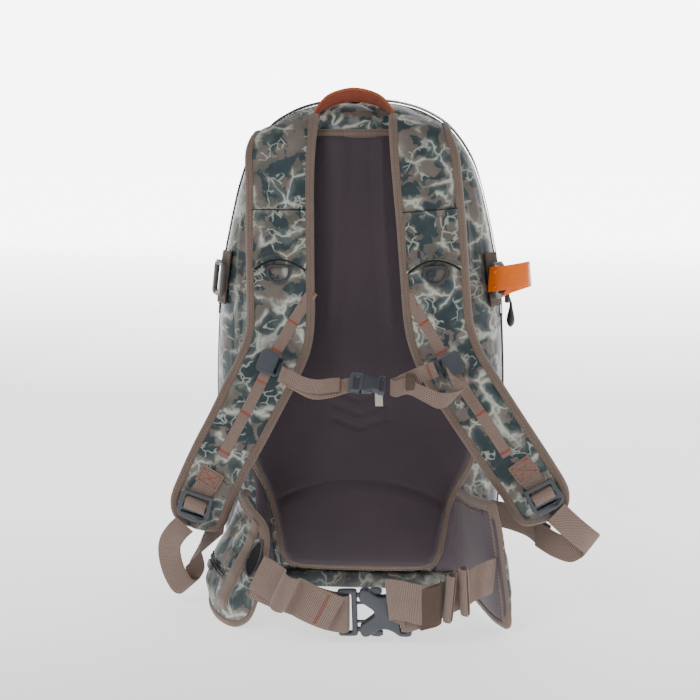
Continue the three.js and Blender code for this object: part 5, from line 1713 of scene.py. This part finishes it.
def make_rod_loop():
    """The loop of orange urethane that holds a rod's butt."""
    rows = [(143, -71, 345, 0.06, 0.05, 1), (156, -75, 347, 0.05, 0.05, 1), (172, -74, 349.5, 0.03, 0.03, 1),
            (184, -67, 351, -0.04, 0, 1), (187.5, -56, 350, -0.1, 0, 1), (181, -47, 346, -0.08, -0.05, 1),
            (170, -47, 342, -0.02, -0.05, 1), (161, -52, 339, 0, -0.05, 1)]
    shape = Shape()
    band(shape, Strip(rows, 27), 27, 1.6, 90)
    tail = [(184, -50, 345, 0.35, 0.1, 0.9), (173, -52, 337, 0.45, 0.1, 0.86),
            (162, -56, 332, 0.55, 0.1, 0.78)]
    band(shape, Strip(tail, 18), 18, 1.4, 30)
    rivet = [(149, -74.4, 354), (149, -74.2, 338)]
    for place in rivet:
        tube(shape, [place, (place[0], place[1] - 1.2, place[2])], [2.2, 1.2], sides=12)
    shape.mesh("rod_strap", [ORANGE], "rod_loop", ("rod_loop",), 40)


make_rod_loop()


def make_main_pull():
    """Slider body with a cord that ends in a moulded drop."""
    moulding("zip_slider", "main_slider", DARK, 1.4)
    shape = Shape()
    top = np.array([168.0, -15, 321])
    for hand in (-1, 1):
        strand = np.array([(-5.5, 1.2, 2), (-2.5, 2.2, 0.5), (0, 1.2, -5), (0.4, 0.4, -9)])
        tube(shape, top + strand * [1, hand, 1], 1.1, sides=8, finish=1)
    rows, columns = 26, 20
    f = np.linspace(0, 1, rows)
    wide = (1.9 + 4.4 * np.sin(np.pi * f ** 1.9) ** 0.9) * np.clip((1 - f) * 9, 0, 1) ** 0.5
    angle = 2 * np.pi * np.arange(columns) / columns
    points = np.stack([top[0] + 0.9 + 0.72 * wide[:, None] * np.cos(angle),
                       top[1] + 0.8 * wide[:, None] * np.sin(angle),
                       np.tile((top[2] - 7 - 29 * f)[:, None], (1, columns))], axis=-1)
    shape.grid(points, wrap=True, caps=True)
    shape.mesh("zip_drop", [DARK, TAPE], "main_pull", ("zip_pull",))


make_main_pull()


# ------------------------------------------------------------ haul handle and the front pocket
def make_handle():
    """The haul handle, widest in the hand, with rolled edges."""
    rows = [(-46, -60, 511, 0.1, 0.99, 0), (-42, -60, 523, 0.2, 0.95, -0.25),
            (-28, -60, 535.5, 0.15, 0.85, -0.5), (-3, -61, 541, 0, 0.8, -0.6),
            (22, -60, 535.5, -0.15, 0.85, -0.5), (36, -60, 523, -0.2, 0.95, -0.25),
            (40, -60, 511, -0.1, 0.99, 0)]
    widths = np.array([12, 15, 20, 21, 20, 15, 12])[:, None]
    table = np.array(rows, float)
    table[:, 3:] = unit(table[:, 3:]) * widths
    strip = Strip(table)
    t = np.linspace(0.1, 0.9, 90)
    half = strip.frame(t)[4]
    w, h = oval(1, 2.6, count=18, square=4)
    points = strip.at(np.tile(t[:, None], (1, len(w))), half[:, None] * w, np.tile(h, (len(t), 1)))
    uv = np.stack([np.tile(t[:, None] * strip.length(), (1, len(w))), half[:, None] * w], axis=-1)
    shape = Shape()
    shape.grid(points, uv, wrap=True, caps=True)
    # The rolled edges take the lighter copy of the webbing: painted highlight.
    for edge in (-1, 1):
        tube(shape, strip.at(t, edge * (half - 0.4), 0 * t), 1.5, sides=8, finish=2)
        for face in (1.45, -1.45):
            stitch(shape, strip.at(t, edge * 0.74 * half, np.full(len(t), face)), 3.4, 2.5, 0.34, finish=1)
    shape.mesh("handle_strap", [RUST, RED, RUST_PAINTED_HIGHLIGHT], "haul_handle", ("haul_handle",))


FRONT_POCKET = [
    [-100, 40], [-60, 30], [0, 28], [60, 30], [100, 40], [112, 90], [112, 200], [98, 250], [50, 268],
    [0, 271], [-50, 268], [-98, 250], [-112, 200], [-112, 90],
]
POCKET_CEILING = 122.2


def make_front_pocket():
    """The gusseted pocket on the front, piped round its face, with a zip across it."""
    loop = np.array(soft_loop(FRONT_POCKET, 160))
    centre = np.array([0.0, 150.0])
    rings = []
    depths = [(1.0, 0.5), (1.0, 9), (0.995, 17), (0.985, 22), (0.96, 25), (0.93, 25.8)]
    depths += [(k, 25.8 + 0.5 * (1 - k)) for k in (0.85, 0.75, 0.62, 0.48, 0.34, 0.2, 0.08)]
    for share, deep in depths:
        ring = centre + (loop - centre) * share
        y = front_y(ring[:, 0], ring[:, 1]) + deep
        rings.append(np.stack([ring[:, 0], y, ring[:, 1]], axis=1))
    points = np.array(rings)
    soft = (0.9 * ripple(points, 40, 11) + 0.5 * ripple(points, 18, 4))
    points[..., 1] += soft * smooth(0, 10, np.array([d for _, d in depths]))[:, None] * 0.8 - 0.8
    uv = np.stack([points[..., 0], points[..., 2]], axis=-1)
    shape = Shape()
    shape.grid(points, uv, wrap=True, caps=True)
    shape.mesh("front_pocket_skin", [CAMO_FRONT], "pack", ("front_pocket",))
    trim = Shape()
    edge = centre + (loop - centre) * 0.965
    piping = np.stack([edge[:, 0], front_y(edge[:, 0], edge[:, 1]) + 24.8, edge[:, 1]], axis=1)
    tube(trim, piping, 1.9, sides=10, closed=True)
    x = np.linspace(-84, 84, 90)
    for low, high, deep_low, deep_high in ((-7.5, -1.2, 26.0, 26.6), (1.2, 7.5, 26.6, 26.0)):
        rows = []
        for dz, deep in ((low, deep_low), (high, deep_high)):
            z = np.full(90, 214 + dz)
            rows.append(np.stack([x, np.minimum(front_y(x, z) + deep, POCKET_CEILING), z], axis=1))
        run = np.stack([x, x * 0], axis=1)
        trim.grid(np.stack(rows, axis=1), np.stack([run + [0, low], run + [0, high]], axis=1), finish=1)
        z = np.full(90, 214 + (low if low < 0 else high) * 0.75)
        line = np.stack([x, np.minimum(front_y(x, z) + 26.7, POCKET_CEILING), z], axis=1)
        stitch(trim, line, 3.2, 2.4, 0.3, finish=3)
    z = np.full(90, 214.0)
    coil = np.stack([x, np.minimum(front_y(x, z) + 26.4, POCKET_CEILING) - 0.4, z], axis=1)
    tube(trim, coil, 1.3, sides=8, finish=2)
    trim.mesh("front_pocket_trim", [TRIM, TAPE, DARK, THREAD], "pack")
    moulding("pocket_zip_slider", "pocket_slider", DARK, 1.0)


make_handle()
make_front_pocket()
